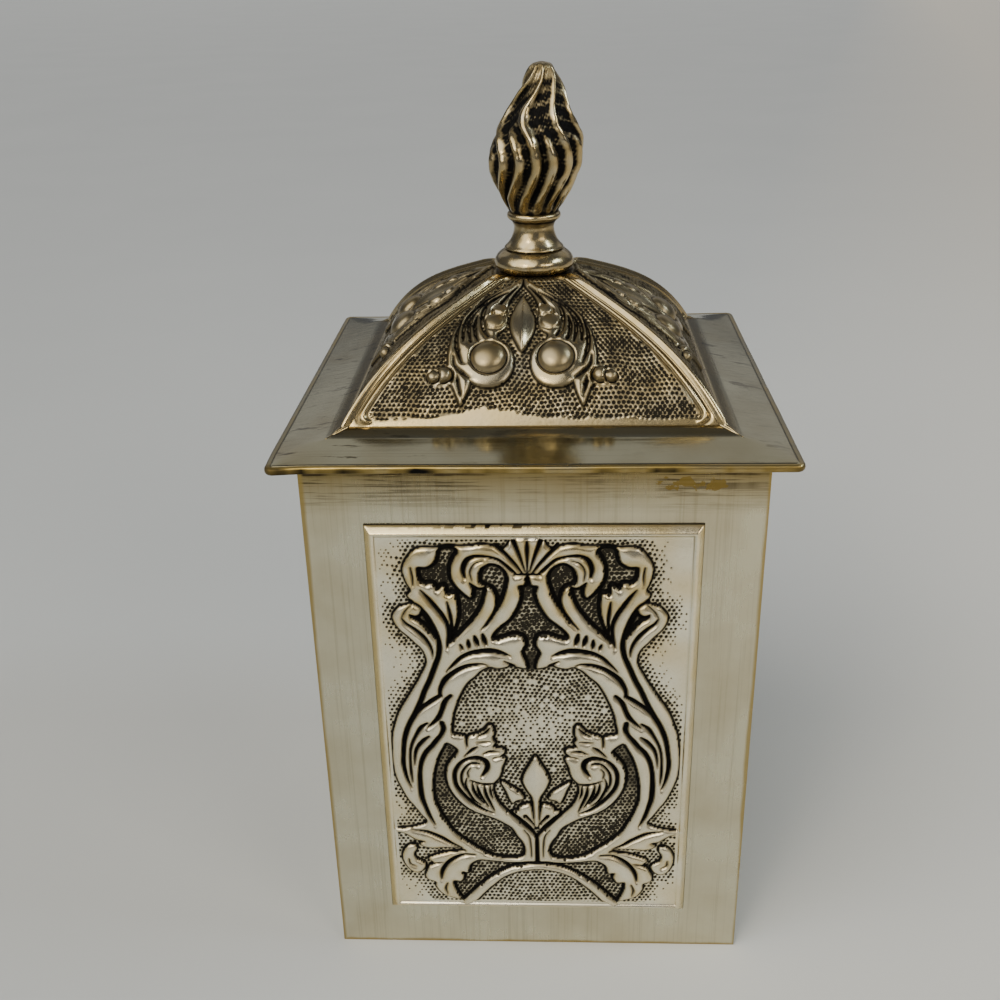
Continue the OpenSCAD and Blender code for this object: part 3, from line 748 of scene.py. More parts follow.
# Height of the dome's ornament, how far its axis stands off the middle, and its punch marks' spacing.
GORE_RISE = 1.15
GORE_LEAN = -2.2
GORE_PITCH = 0.98


def corner_blend(a, b, radius):
    """The larger of two distances, with a round corner where they meet."""
    near = np.hypot(np.clip(a + radius, 0, None), np.clip(b + radius, 0, None)) - radius
    return np.maximum(near, np.minimum(np.maximum(a, b), -radius))


def gore_grid():
    """A dome side's grid, unrolled: x across it and s up it, with its relief, first tarnish and painted
    shade.
    """
    gore = SimpleNamespace()
    s_line = np.linspace(0, DOME_LENGTH, GORE_ROWS)
    gore.half, gore.z_line, gore.out, gore.up = on_side(s_line)
    gore.share = np.linspace(-1, 1, GORE_COLS)
    gore.x = gore.half[:, None] * gore.share[None, :]
    gore.s = np.repeat(s_line[:, None], GORE_COLS, 1)
    gore.axis_x = gore.x - GORE_LEAN
    sheet = Relief(gore.axis_x, gore.s)
    raised = sheet.regions([GORE_BUD, GORE_SCROLL, GORE_TAIL])
    cuts = sheet.strokes(GORE_CUTS)
    far = np.full(gore.x.shape, 9.0)
    gore.solid, gore.height, gore.tarnish = compose(raised, far, far, far, cuts, GORE_RISE)
    # The bud has a sharp ridge down its middle.
    bud = sheet.regions([GORE_BUD])
    gore.height += 0.6 * smoothstep(-bud / 2.2) * np.exp(-np.abs(gore.axis_x) / 1.2)
    return gore


def raise_bosses(gore):
    """Round bosses on both sides of the bud, each with a dark ring sunk round it."""
    for cx, cs, radius, lift, depth in BOSSES:
        for side in (-1, 1):
            away = np.hypot(gore.axis_x - side * cx, gore.s - cs)
            dome = np.sqrt(np.clip(1 - (away / radius) ** 2, 0, 1))
            base = GORE_RISE * (0.55 + 0.5 * (1 - depth))
            gore.height = np.where(away < radius, base + lift * dome, gore.height)
            ring = depth * np.exp(-((away - radius - 0.28) / 0.26) ** 2)
            gore.height -= 0.45 * ring * (away > radius)
            near = away < radius + 0.8
            gore.tarnish = np.where(near, np.maximum(0.95 * ring, 0.34 * (away < radius)), gore.tarnish)
            gore.solid = np.where(near, 1.0, gore.solid)


def punch_gore(gore):
    """The dome side's punched ground, and its smooth border with a roll and a groove by each hip."""
    hip_gap = (gore.half[:, None] - np.abs(gore.x)) * 0.78
    shore = 1.4 + 2.1 * np.exp(-((gore.x + 9) / 8.5) ** 2) + 0.25 * ripple(gore.x, 0 * gore.x, 7.0, 41)
    border = -corner_blend(2.5 - hip_gap, shore - gore.s, 1.7)
    gore.inner = smoothstep(border / 0.5)
    ground = gore.solid < 0
    cloud = ripple(gore.x, gore.s, 6.0, 17)
    ground_dark = np.clip(0.52 + 0.12 * cloud + 0.1 * smoothstep((gore.s - 20) / 10)
                          - 0.4 * np.exp(-((gore.s - 3) / 2.5) ** 2 - ((gore.x - 2) / 12) ** 2), 0, 1)
    dark = np.maximum(ground_dark, smoothstep((0.7 + gore.solid) / 0.5) * 0.9)
    gore.tarnish = np.where(ground, dark, gore.tarnish)
    share = (ground & (gore.solid < -0.12) & (border > 0.3)) * 1.0
    marks, punch = Relief(gore.x, gore.s).pits(GORE_PITCH, 47, share, 0.41 + 0.03 * cloud)
    gore.punch = punch * (gore.inner > 0.5)
    gore.height -= 0.34 * marks
    gore.height *= gore.inner
    hip_side = smoothstep((4.2 - hip_gap) / 1.0)
    gore.height += 0.40 * np.exp(-((border + 0.62) / 0.36) ** 2) * hip_side
    groove = np.exp(-((border + 1.32) / 0.22) ** 2) * hip_side
    gore.height -= 0.25 * smoothstep((0.4 - np.abs(border)) / 0.4) * hip_side + 0.2 * groove
    gore.tarnish = (gore.tarnish + 0.12 * (gore.solid > 0)) * gore.inner + 0.06 * (1 - gore.inner)
    gore.tarnish = np.maximum(gore.tarnish, 0.9 * smoothstep((0.3 - np.abs(border)) / 0.25) * hip_side)
    gore.tarnish = np.maximum(gore.tarnish, 0.85 * groove)
    # A soft swell, and nothing raised under the finial's ring.
    gore.height += 0.14 * ripple(gore.x, gore.s, 14.0, 71) * gore.inner
    gore.height *= smoothstep((np.hypot(gore.half[:, None], gore.x) - RING_R * 0.9) / 2.0)


def shell(outer, back):
    """Points and faces of a grid and a coarser one behind it, joined along their borders."""
    (rows, cols), (back_rows, back_cols) = outer.shape[:2], back.shape[:2]
    start = rows * cols
    faces = grid_faces(rows, cols) + grid_faces(back_rows, back_cols, start, flip=True)
    index = np.arange(start).reshape(rows, cols)
    behind = start + np.arange(back_rows * back_cols).reshape(back_rows, back_cols)
    borders = ((index[0], behind[0], 1), (index[:, -1], behind[:, -1], 1),
               (index[-1], behind[-1], -1), (index[:, 0], behind[:, 0], -1))
    for edge_line, back_line, turn in borders:
        for k in range(len(back_line) - 1):
            run = edge_line[k * GORE_STEP:(k + 1) * GORE_STEP + 1].tolist()
            face = run[::-1] + [int(back_line[k]), int(back_line[k + 1])]
            faces.append(face[::turn])
    return np.vstack([outer.reshape(-1, 3), back.reshape(-1, 3)]), faces


def gore_piece():
    """The front side of the dome: a pressed sheet with its ornament and punched ground."""
    gore = gore_grid()
    raise_bosses(gore)
    punch_gore(gore)
    y = -(gore.half[:, None] + gore.out[:, None] * gore.height)
    z = gore.z_line[:, None] + gore.up[:, None] * gore.height
    # The inner face is smooth and coarser.
    rows, cols = np.arange(0, GORE_ROWS, GORE_STEP), np.arange(0, GORE_COLS, GORE_STEP)
    back_half = gore.half[rows] - gore.out[rows] * SHEET
    back_z = gore.z_line[rows] - gore.up[rows] * SHEET
    back = np.stack([gore.share[cols][None, :] * back_half[:, None],
                     np.repeat(-back_half[:, None], len(cols), 1),
                     np.repeat(back_z[:, None], len(cols), 1)], -1)
    points, faces = shell(np.stack([gore.x, y, z], -1), back)
    gold = np.clip(0.55 + 0.25 * ripple(gore.x, gore.s, 12.0, 9) + 0.4 * (1 - gore.inner), 0, 1)
    behind = len(points) - gore.x.size
    return mesh_piece("dome_side_front", points, faces, {
        "tarnish": with_back(gore.tarnish, behind, 0.35),
        "punch": with_back(gore.punch, behind, 0.0),
        "gold": with_back(gold, behind, 0.3)})


# Half-width and height of the lid's flare, from the rim plate up to the dome's foot.
FLARE = [(FLARE_HALF + 0.9, plate_z(FLARE_HALF + 0.9)), (FLARE_HALF, plate_z(FLARE_HALF) + 0.02),
         (40.9, 129.42), (40.3, 129.6), (39.6, 129.9), (39.0, 130.12), (DOME_FOOT_HALF, DOME_FOOT_Z)]


def rib_piece():
    """The plain band over the front left hip: a low gable that follows the dome and the flare."""
    s = np.concatenate([np.linspace(-BAND_TAIL, 0, 13)[:-1], np.linspace(0, DOME_LENGTH - 5, 110)])
    half, z, out, up = on_side(np.clip(s, 0, None))
    down = s < 0
    flare = smooth_line(FLARE[::-1], step=0.2)
    length = np.concatenate([[0], np.cumsum(np.hypot(*np.diff(flare, axis=0).T))])
    half = np.where(down, np.interp(-s, length, flare[:, 0]), half)
    z = np.where(down, np.interp(-s, length, flare[:, 1]), z)
    fade = smoothstep((s + BAND_TAIL) / 3.2)
    tail = smoothstep((s + BAND_TAIL) / (BAND_TAIL + 1.5))
    crest = 0.72 * fade * (0.4 + 0.6 * tail) * smoothstep((DOME_LENGTH - 3 - s) / 6)
    band = 1.2 * (0.25 + 0.75 * tail) * smoothstep((DOME_LENGTH + 8 - s) / 22)
    shoulder = 0.16 * fade * tail
    sink = 0.45
    # Heights across the band, from its edge on one side to the crest.
    lifts = [-sink + 0 * s, shoulder * 0.5, shoulder, shoulder + (crest - shoulder) * 0.32,
             shoulder + (crest - shoulder) * 0.8, crest * 0.97, crest]
    shares = [1.0, 1.0, 0.86, 0.52, 0.25, 0.1, 0.0]
    lines = []
    for share, lift in zip(shares, lifts):
        across = half - band * share + out * lift * (share < 0.05)
        lines.append(np.stack([-across, -(half + out * lift), z + up * lift], -1))
    other = [line[:, [1, 0, 2]] for line in lines[-2::-1]]
    section = np.stack(lines + other, 1)
    n, m = section.shape[:2]
    points = section.reshape(-1, 3)
    faces = grid_faces(n, m, flip=True)
    index = np.arange(n * m).reshape(n, m)
    under = [index[:-1, -1], index[1:, -1], index[1:, 0], index[:-1, 0]]
    faces += np.stack(under, -1).tolist()
    faces += [index[0].tolist(), index[-1][::-1].tolist()]
    wear = ripple(points[:, 0] + points[:, 1], points[:, 2], 4.0, 61)
    edge = np.tile(np.array(shares + shares[-2::-1]), n)
    tarnish = np.clip(0.95 * smoothstep((edge - 0.9) / 0.08) + 0.10 + 0.12 * wear, 0, 1)
    gold = np.clip(0.85 + 0.2 * wear, 0, 1)
    return mesh_piece("hip_band_front_left", points, faces, {"tarnish": tarnish, "gold": gold})


# ---------------------------------------------------------------- rim of the lid


def sag(x, y):
    """How far the thin rim plate waves up and down, with one corner bent down."""
    outward = smoothstep((np.maximum(np.abs(x), np.abs(y)) - 48) / 4.5)
    corner = np.exp(-((x + RIM_HALF) ** 2 + (y + RIM_HALF) ** 2) / 6.0 ** 2)
    return outward * (0.07 * ripple(x, y, 36.0, 23) - 0.4 * corner)


# Points along each straight side of a square ring, and round each of its corners.
SIDE_POINTS, CORNER_POINTS = 88, 9


def square_ring(half, radius):
    """Points round a square of the given half-width with round corners, starting at its front."""
    flat = half - radius
    side = np.stack([np.linspace(-flat, flat, SIDE_POINTS), np.full(SIDE_POINTS, -half)], -1)
    turn = np.linspace(-math.pi / 2, 0, CORNER_POINTS + 2)[1:-1]
    bend = np.stack([flat + radius * np.cos(turn), -flat + radius * np.sin(turn)], -1)
    quarter = np.vstack([side, bend])
    turns = [(1, 0), (0, 1), (-1, 0), (0, -1)]
    return np.vstack([quarter @ np.array([[c, s], [-s, c]]) for c, s in turns])


def waved_ring(half, radius, z):
    """A square ring at one height, waved and bent as the rim is."""
    plan = square_ring(half, radius)
    return np.column_stack([plan, np.full(len(plan), z) + sag(plan[:, 0], plan[:, 1])])


def rim_piece():
    """The rim plate and the flare that carries the dome, one closed skin."""
    edge, edge_corner, flare_corner = EDGE_HALF - 0.1, RIM_ROUND - 0.9, 0.5
    # Half-width, height and corner radius of each ring, from the dome's foot out and back under.
    skin = [(r, z, flare_corner) for r, z in smooth_line(FLARE[::-1], step=0.4)]
    skin += [(r, plate_z(r), corner) for r, corner in
             ((43.2, 1.5), (44.5, 3.2), (46, 4.4), (48, 4.2), (49.6, 2.6), (50.9, 1.1))]
    skin += [(edge, plate_z(edge), edge_corner), (edge, plate_z(edge) - PLATE, edge_corner)]
    skin += [(r, plate_z(r) - PLATE, flare_corner) for r in (48, 46, FLARE_HALF)]
    skin += [(39.2, 129.2, flare_corner), (DOME_FOOT_HALF - SHEET, 129.6, flare_corner),
             (DOME_FOOT_HALF - SHEET, DOME_FOOT_Z, flare_corner)]
    rings = [waved_ring(r, corner, z) for r, z, corner in skin]
    points = np.vstack(rings)
    r = np.maximum(np.abs(points[:, 0]), np.abs(points[:, 1]))
    over = points[:, 2] > plate_z(r) - PLATE / 2
    cloud = ripple(points[:, 0], points[:, 1], 12.0, 3)
    tarnish = np.clip(0.12 + 0.08 * cloud + 0.30 * np.exp(-((r - 41.6) / 0.3) ** 2) * over
                      + 0.22 * smoothstep((r - 50.6) / 1.0), 0, 1)
    gold = np.clip(smoothstep((41.4 - r) / 0.8) * over * 0.9 + 0.35 * smoothstep((r - 50.4) / 1.2)
                   + 0.15 * cloud, 0, 1)
    faces = tube_faces(len(rings), len(rings[0]), flip=True)
    return mesh_piece("lid_rim_plate", points, faces, {"tarnish": tarnish, "gold": gold})


WIRE_SIDES = 14


def flattened(v):
    """A cosine or sine pushed out towards a square's, for a wire flattened by wear."""
    return math.copysign(abs(v) ** 0.8, v)


def wire_piece():
    """The brass wire that stiffens the rim's edge, a little flattened by wear."""
    rings = []
    for k in range(WIRE_SIDES):
        a = math.tau * k / WIRE_SIDES
        r = RIM_HALF - WIRE_R + WIRE_R * flattened(math.cos(a))
        z = (wire_low[2] + wire_high[2]) / 2 + WIRE_R * flattened(math.sin(a))
        rings.append(waved_ring(r, max(0.4, RIM_ROUND - (RIM_HALF - r)), z))
    points = np.vstack(rings)
    x, y, z = points.T
    cloud = ripple(x, y, 17.0, 29) + 0.6 * ripple(x, y, 5.0, 30)
    high = smoothstep((z - wire_high[2] + 0.45) / 0.35)
    tarnish = np.clip(0.60 + 0.30 * cloud - 0.75 * high, 0, 1)
    front = smoothstep((np.abs(y) - np.abs(x) + 3) / 6)
    gold = np.clip(0.15 + 0.75 * front + 0.3 * cloud, 0, 1)
    faces = tube_faces(len(rings), len(rings[0]))
    return mesh_piece("rim_edge_wire", points, faces, {"tarnish": tarnish, "gold": gold})


# ---------------------------------------------------------------- finial


LATHE_COLS = 128
LATHE_WOBBLE = 0.04


def lathe(name, outline, low, seed):
    """A turned piece from an outline of (radius, height, tarnish) points."""
    line = smooth_line(outline, step=0.14)
    turn = np.linspace(0, math.tau, LATHE_COLS, endpoint=False)
    r = line[:, 0][:, None] + 0 * turn
    z = low + line[:, 1][:, None] + 0 * turn
    r = r + LATHE_WOBBLE * ripple(r * np.cos(turn), z + r * np.sin(turn), 3.5, seed) * (r > 1)
    points = np.stack([r * np.cos(turn), r * np.sin(turn), z], -1).reshape(-1, 3)
    dark = np.repeat(np.clip(line[:, 2], 0, 1), LATHE_COLS)
    cloud = ripple(points[:, 0] * 2, points[:, 1] * 2 + points[:, 2], 4.0, seed + 5)
    tarnish, gold = np.clip(dark + 0.18 * cloud, 0, 1), np.clip(0.8 + 0.2 * cloud, 0, 1)
    faces = capped_faces(len(line), LATHE_COLS)
    return mesh_piece(name, points, faces, {"tarnish": tarnish, "gold": gold})


# Outlines of the two turned pieces, as (radius, height, tarnish).
RING_OUTLINE = [
    (RING_R * 0.72, 0.0, 0.95), (RING_R * 0.80, 0.05, 0.9), (RING_R * 0.90, 0.5, 0.4),
    (RING_R * 0.985, 1.3, 0.2), (RING_R, 2.1, 0.15), (RING_R * 0.97, 3.0, 0.15),
    (RING_R * 0.89, 3.9, 0.2), (RING_R * 0.78, 4.6, 0.3), (RING_R * 0.69, RING_H - 0.05, 0.8)]
STEM_OUTLINE = [
    (STEM_R * 1.0, 0.0, 1.0), (STEM_R * 1.11, 0.15, 0.6), (STEM_R * 1.08, 0.5, 0.25),
    (STEM_R * 0.98, 1.1, 0.2), (STEM_R * 0.88, 1.9, 0.25), (STEM_R * 0.80, 2.9, 0.3),
    (STEM_R * 0.75, 4.0, 0.35), (STEM_R * 0.75, 4.9, 0.4), (STEM_R * 0.80, 5.7, 0.6),
    (STEM_R * 0.86, 6.15, 1.0), (STEM_R * 0.93, 6.4, 0.6), (STEM_R * 0.99, 6.8, 0.2),
    (STEM_R, 7.3, 0.15), (STEM_R * 0.96, 7.75, 0.3), (STEM_R * 0.86, STEM_H - 0.02, 1.0)]
TONGUES = 14
FLAME_ROWS, FLAME_COLS = 260, 340
# Radius of the flame by height, and how far its tongues swing round, both as shares.
FLAME_OUTLINE = [
    (0.52, 0), (0.58, 0.035), (0.79, 0.155), (0.96, 0.29), (1.0, 0.39), (0.955, 0.50),
    (0.80, 0.615), (0.60, 0.74), (0.43, 0.86), (0.31, 0.94), (0.20, 0.985), (0.04, 1.0)]
FLAME_SWING = [
    (-0.20, 0), (-0.10, 0.1), (0.16, 0.24), (0.26, 0.36), (0.08, 0.50), (-0.24, 0.62),
    (-0.30, 0.72), (-0.05, 0.82), (0.35, 0.92), (0.5, 1.0)]
# Depth of the grooves by height.
FLAME_GROOVE = [(0, 0), (0.04, 0.5), (0.16, 1.7), (0.4, 1.9), (0.75, 1.5), (0.93, 0.7), (1, 0)]


def flame_tongues(u, turn):
    """The tongues by height and turn: 1 on a crest to 0 in a groove, and which flank is which."""
    swing = smooth_line(FLAME_SWING, step=0.004)
    sway = np.interp(u, swing[:, 1], swing[:, 0]) * (1 + 0.35 * np.sin(turn * 2 + 0.6))
    phase = TONGUES * (turn - sway) / 4 + 0.22 * np.sin(2 * turn + 2 * u + 1.0)
    # Every other tongue ends below the tip; the rest close over it.
    long_tongue = np.abs(np.cos(phase)) ** 6.0
    short_tongue = np.abs(np.sin(phase)) ** 6.0
    end = 0.66 + 0.1 * np.sin(3 * turn + 1.0)
    crest = np.maximum(long_tongue, short_tongue * smoothstep((end - u) / 0.2))
    return crest, 0.5 + 0.5 * np.sin(2 * phase)


def flame_piece():
    """The flame: tongues that sweep up and round in an S, with deep grooves between them."""
    u = np.linspace(0, 1, FLAME_ROWS)[:, None]
    turn = np.linspace(0, math.tau, FLAME_COLS, endpoint=False)[None, :]
    crest, flank = flame_tongues(u, turn)
    outline = smooth_line(FLAME_OUTLINE, step=0.004)
    envelope = FLAME_R * np.interp(u, outline[:, 1], outline[:, 0])
    depth = np.interp(u, *np.transpose(FLAME_GROOVE))
    rough = ripple(turn * FLAME_R, u * FLAME_H, 1.1, 78)
    r = envelope - depth * (1 - crest) * (0.8 + 0.2 * flank) - 0.05 * rough * (1 - crest)
    r = np.maximum(r + 0.05 * ripple(turn * 9 + 0 * u, u * 60, 5.0, 77), 0.02)
    # The upper part bends over to the right.
    shift = 1.9 * smoothstep((u - 0.25) / 0.75) + 0.35 * np.sin(math.pi * u)
    x, y = r * np.cos(turn) + shift, r * np.sin(turn)
    z = flame_low[2] + FLAME_H * u + 0 * turn
    points = np.stack([x, y, z], -1).reshape(-1, 3)
    cloud = ripple(points[:, 0], points[:, 2] + points[:, 1], 5.0, 91).reshape(r.shape)
    # Painted shade down the tongues' flanks, from light crests to black grooves, where real patina lies
    # too; less at the foot and the tip.
    shade = smoothstep((0.93 - crest) / 0.62)
    shade = shade * np.interp(u, [0, 0.06, 0.5, 0.8, 1], [0.6, 1, 1, 0.9, 0.4])
    foot = 0.6 * smoothstep((0.03 - u) / 0.03)
    tarnish = np.clip(shade * (0.9 + 0.15 * rough) + 0.10 + 0.16 * cloud + foot, 0, 1)
    gold = np.clip(0.85 + 0.25 * cloud, 0, 1)
    return mesh_piece("flame", points, capped_faces(FLAME_ROWS, FLAME_COLS),
                      {"tarnish": tarnish.ravel(), "gold": gold.ravel()})


# ---------------------------------------------------------------- materials


class Nodes:
    """A short way to write a node material."""

    def __init__(self, name):
        self.material = bpy.data.materials.new(name)
        self.material.use_nodes = True
        self.tree = self.material.node_tree
        self.shader = self.tree.nodes["Principled BSDF"]

    @classmethod
    def reopen(cls, material):
        """Nodes for a material that is already written, to add to it."""
        n = cls.__new__(cls)
        n.material, n.tree = material, material.node_tree
        n.shader = n.tree.nodes["Principled BSDF"]
        return n

    def add(self, kind, **settings):
        """A node, with values for its inputs or settings by name."""
        node = self.tree.nodes.new(kind)
        for key, value in settings.items():
            if key in node.inputs:
                node.inputs[key].default_value = value
            else:
                setattr(node, key, value)
        return node

    def link(self, a, b):
        """Joins an output to an input."""
        self.tree.links.new(a, b)

    def place(self):
        """The place on the object, as outputs for x, y and z."""
        node = self.add("ShaderNodeSeparateXYZ")
        self.link(self.add("ShaderNodeTexCoord").outputs["Object"], node.inputs[0])
        return node.outputs

    def attribute(self, name):
        """A value that the mesh holds for each of its points."""
        return self.add("ShaderNodeAttribute", attribute_name=name).outputs["Fac"]

    def math(self, operation, a, b, clamp=False):
        """A sum on two outputs or numbers."""
        node = self.add("ShaderNodeMath", operation=operation, use_clamp=clamp)
        for socket, value in zip(node.inputs, (a, b)):
            if isinstance(value, (int, float)):
                socket.default_value = value
            else:
                self.link(value, socket)
        return node.outputs[0]

    def plus(self, a, b, clamp=False):
        """One value and another."""
        return self.math("ADD", a, b, clamp)

    def minus(self, a, b):
        """One value less another."""
        return self.math("SUBTRACT", a, b)

    def times(self, a, b, clamp=False):
        """One value times another, kept between 0 and 1 if it is clamped."""
        return self.math("MULTIPLY", a, b, clamp)

    def mix(self, share, a, b):
        """A colour between two others."""
        node = self.add("ShaderNodeMix", data_type="RGBA")
        for socket, value in ((node.inputs[0], share), (node.inputs[6], a), (node.inputs[7], b)):
            if isinstance(value, (int, float, tuple)):
                socket.default_value = value if isinstance(value, (int, float)) else (*value, 1)
            else:
                self.link(value, socket)
        return node.outputs[2]

    def ramp(self, share, stops):
        """A colour or grey that follows a share through (place, value) stops."""
        node = self.add("ShaderNodeValToRGB")
        ramp = node.color_ramp
        while len(ramp.elements) < len(stops):
            ramp.elements.new(0.5)
        for element, (place, colour) in zip(ramp.elements, stops):
            element.position = place
            element.color = (*colour, 1) if isinstance(colour, tuple) else (colour, colour, colour, 1)
        self.link(share, node.inputs[0])
        return node.outputs[0]

    def fade(self, value, low, high):
        """From 0 to 1 as a value goes from low to high."""
        return self.ramp(value, [(low, 0.0), (high, 1.0)])

    def bump(self, height, strength, distance):
        """Roughens the surface by a height."""
        node = self.add("ShaderNodeBump", Strength=strength, Distance=distance)
        self.link(height, node.inputs["Height"])
        self.link(node.outputs[0], self.shader.inputs["Normal"])

    def noise(self, scale, stretch=(1, 1, 1), detail=4.0, rough=0.55):
        """Cloudy noise over the object, finer along the axes that are stretched more."""
        place = self.add("ShaderNodeTexCoord").outputs["Object"]
        mapping = self.add("ShaderNodeMapping")
        mapping.inputs["Scale"].default_value = stretch
        self.link(place, mapping.inputs["Vector"])
        node = self.add("ShaderNodeTexNoise", Scale=scale, Detail=detail, Roughness=rough)
        self.link(mapping.outputs[0], node.inputs["Vector"])
        return node.outputs["Fac"]


# Colours of the metals, as they look in plain white light.
SILVER = (0.93, 0.88, 0.70)
WALL_SILVER = (0.64, 0.61, 0.46)
INNER_SILVER = (0.60, 0.57, 0.47)
WARM_SILVER = (0.48, 0.45, 0.31)
DARK_SILVER = (0.40, 0.37, 0.28)
PALE_GOLD = (0.62, 0.50, 0.27)
DARK_GOLD = (0.48, 0.37, 0.18)
BRASS = (0.50, 0.36, 0.11)
BLACK = (0.006, 0.0055, 0.005)
BLACK_ROUGH = 0.55


def shaded(colour, share):
    """A colour made darker."""
    return tuple(share * v for v in colour)


def plated_metal(name, silver, brass, rough, stain, scratch, gold=None, stretch=(1, 1, 1)):
    """Silver plate over brass with tarnish: bright and smooth to black and dull.

    Without a share of gold, the mesh says where the brass shows and where tarnish and painted shade
    lie.
    """
    n = Nodes(name)
    cloud = n.noise(60, detail=6.0)
    fine = n.noise(900, stretch, detail=3.0)
    streak = n.noise(260, tuple(v * (6 if v == 1 else 0.6) for v in stretch), detail=4.0, rough=0.6)
    worn = n.times(n.fade(cloud, 0.40, 0.68), stain)
    if gold is None:
        tarnish = n.attribute("tarnish")
        mottle = n.times(n.minus(cloud, 0.5), 0.6)
        gilt = n.plus(n.attribute("gold"), mottle, clamp=True)
    else:
        tarnish = n.times(n.fade(streak, 0.50, 0.80), stain * 0.6)
        gilt = n.times(n.fade(cloud, 0.35, 0.75), gold)
    bright = n.mix(gilt, silver, brass)
    brown = shaded(brass, 0.42)
    stained = n.mix(worn, bright, n.mix(0.5, bright, brown))
    scratches = n.times(n.fade(streak, 0.54, 0.62), scratch)
    scratched = n.mix(scratches, stained, n.mix(0.4, stained, brown))
    mid = n.mix(0.72, scratched, shaded(brass, 0.28))
    share = n.ramp(tarnish, [(0.0, 0.0), (0.30, 0.10), (0.62, 0.55), (0.9, 1.0)])
    if gold is None:
        punch = n.attribute("punch")
        punch = n.plus(punch, n.times(n.minus(fine, 0.5), 0.12))
        share = n.math("MAXIMUM", share, n.ramp(punch, [(0.38, 0.0), (0.46, 0.3), (0.56, 0.97)]))
    low = n.mix(n.fade(share, 0.0, 0.5), scratched, mid)
    colour = n.mix(n.fade(share, 0.5, 1.0), low, BLACK)
    n.link(colour, n.shader.inputs["Base Color"])
    n.link(n.ramp(share, [(0.35, 1.0), (1.0, 0.8)]), n.shader.inputs["Metallic"])
    n.shader.inputs["Specular IOR Level"].default_value = 0.2
    roughness = n.plus(n.times(cloud, rough[1] - rough[0]), rough[0])
    roughness = n.plus(roughness, n.times(share, BLACK_ROUGH - rough[0]), clamp=True)
    n.link(roughness, n.shader.inputs["Roughness"])
    n.bump(n.plus(fine, n.times(streak, 0.8)), 0.35, 0.00004)
    return n.material


def plain_metal(name, colour, shade, rough, scale):
    """Unplated metal with a mottled surface, such as brass fittings and solder."""
    n = Nodes(name)
    cloud = n.noise(120, detail=6.0)
    fine = n.noise(scale, detail=3.0)
    n.link(n.mix(n.fade(cloud, 0.35, 0.72), colour, shade), n.shader.inputs["Base Color"])
    n.shader.inputs["Metallic"].default_value = 1.0
    n.link(n.plus(n.times(cloud, 0.3), rough), n.shader.inputs["Roughness"])
    n.bump(fine, 0.5, 0.00005)
    return n.material


def inner_plate(name):
    """Plate inside the vessel and under the lid, yellowed and dull."""
    return plated_metal(name, INNER_SILVER, PALE_GOLD, rough=(0.32, 0.5), stain=0.8,
                        scratch=0.2, gold=0.4)


def dark_plate(name, stain):
    """The darker plate of the dome and the finial."""
    return plated_metal(name, DARK_SILVER, DARK_GOLD, rough=(0.16, 0.28), stain=stain, scratch=0.1)


def worn_edges(n, place, patch):
    """Where a wall is worn to brass: along its upright edges and its foot."""
    across = [n.math("ABSOLUTE", place[k], 0.0) for k in (0, 1)]
    corner = n.math("MINIMUM", across[0], across[1])
    reach = n.times(n.minus(patch, 0.5), 0.0022)
    edge = n.plus(corner, reach)
    foot = n.plus(n.times(place[2], -1.0), BODY_HALF * MM)
    foot = n.plus(foot, n.times(reach, 0.7))
    edge = n.minus(n.math("MAXIMUM", edge, foot), BODY_HALF * MM - 0.0012)
    return n.fade(n.times(edge, 1000.0, clamp=True), 0.35, 0.9)


def bare_patch(n, place):
    """Where the front wall is worn through to the brass: a patch under the lid."""
    middles, widths = (0.031, 0.1212), (0.0085, 0.0020)
    away = [n.math("DIVIDE", n.minus(place[k], middle), width)
            for k, middle, width in zip((0, 2), middles, widths)]
    squares = [n.math("POWER", n.math("ABSOLUTE", value, 0.0), 2.0) for value in away]
    ragged = n.times(n.minus(n.noise(500, (0.6, 1, 1), detail=6.0), 0.5), 4.5)
    near = n.ramp(n.plus(n.plus(*squares), ragged), [(0.42, 1.0), (0.5, 0.0)])
    return n.times(near, n.math("LESS_THAN", place[1], 0.0))


def wall_material():
    """The walls: painted darker in the lid rim's shadow and rubbed across just under the lid, and worn
    to brass along their edges.
    """
    wall = plated_metal("wall_plate", WALL_SILVER, PALE_GOLD, rough=(0.20, 0.36), stain=0.5,
                        scratch=0.35, gold=0.25, stretch=(1, 1, 0.12))
    n = Nodes.reopen(wall)
    plain = n.shader.inputs["Base Color"].links[0].from_socket
    place = n.place()
    patch = n.noise(90, (1, 1, 0.25), detail=5.0)
    # Fine level rubs lie over a painted shadow that the lid's rim casts on the top of the wall.
    rubs = n.noise(1000, (0.055, 0.055, 2.3), detail=4.0, rough=0.6)
    top = n.times(n.minus(place[2], 0.1145), 110.0, clamp=True)
    rubbed = n.times(n.fade(rubs, 0.49, 0.55), top)
    rubbed = n.times(rubbed, n.ramp(patch, [(0.36, 0.2), (0.56, 1.0)]))
    colour = n.mix(n.times(top, 0.9), plain, shaded(BRASS, 0.45))
    colour = n.mix(rubbed, colour, (0.06, 0.045, 0.025))
    colour = n.mix(n.times(bare_patch(n, place), 0.85), colour, (0.22, 0.15, 0.035))
    worn = n.times(worn_edges(n, place, patch), 0.85)
    n.link(n.mix(worn, colour, shaded(BRASS, 0.7)), n.shader.inputs["Base Color"])
    return wall


def rim_material():
    """The rim plate: polished, with dark rubbed smears here and there."""
    rim = plated_metal("rim_plate", WARM_SILVER, (0.50, 0.40, 0.20), rough=(0.07, 0.17), stain=0.45,
                       scratch=0.5, stretch=(0.1, 1, 1))
    n = Nodes.reopen(rim)
    plain = n.shader.inputs["Base Color"].links[0].from_socket
    smear = n.noise(230, (0.35, 1.6, 1), detail=6.0, rough=0.65)
    where = n.noise(16, detail=2.0)
    mark = n.times(n.ramp(smear, [(0.60, 0.0), (0.64, 0.85)]), n.fade(where, 0.46, 0.58))
    n.link(n.mix(mark, plain, (0.09, 0.07, 0.035)), n.shader.inputs["Base Color"])
    return rim


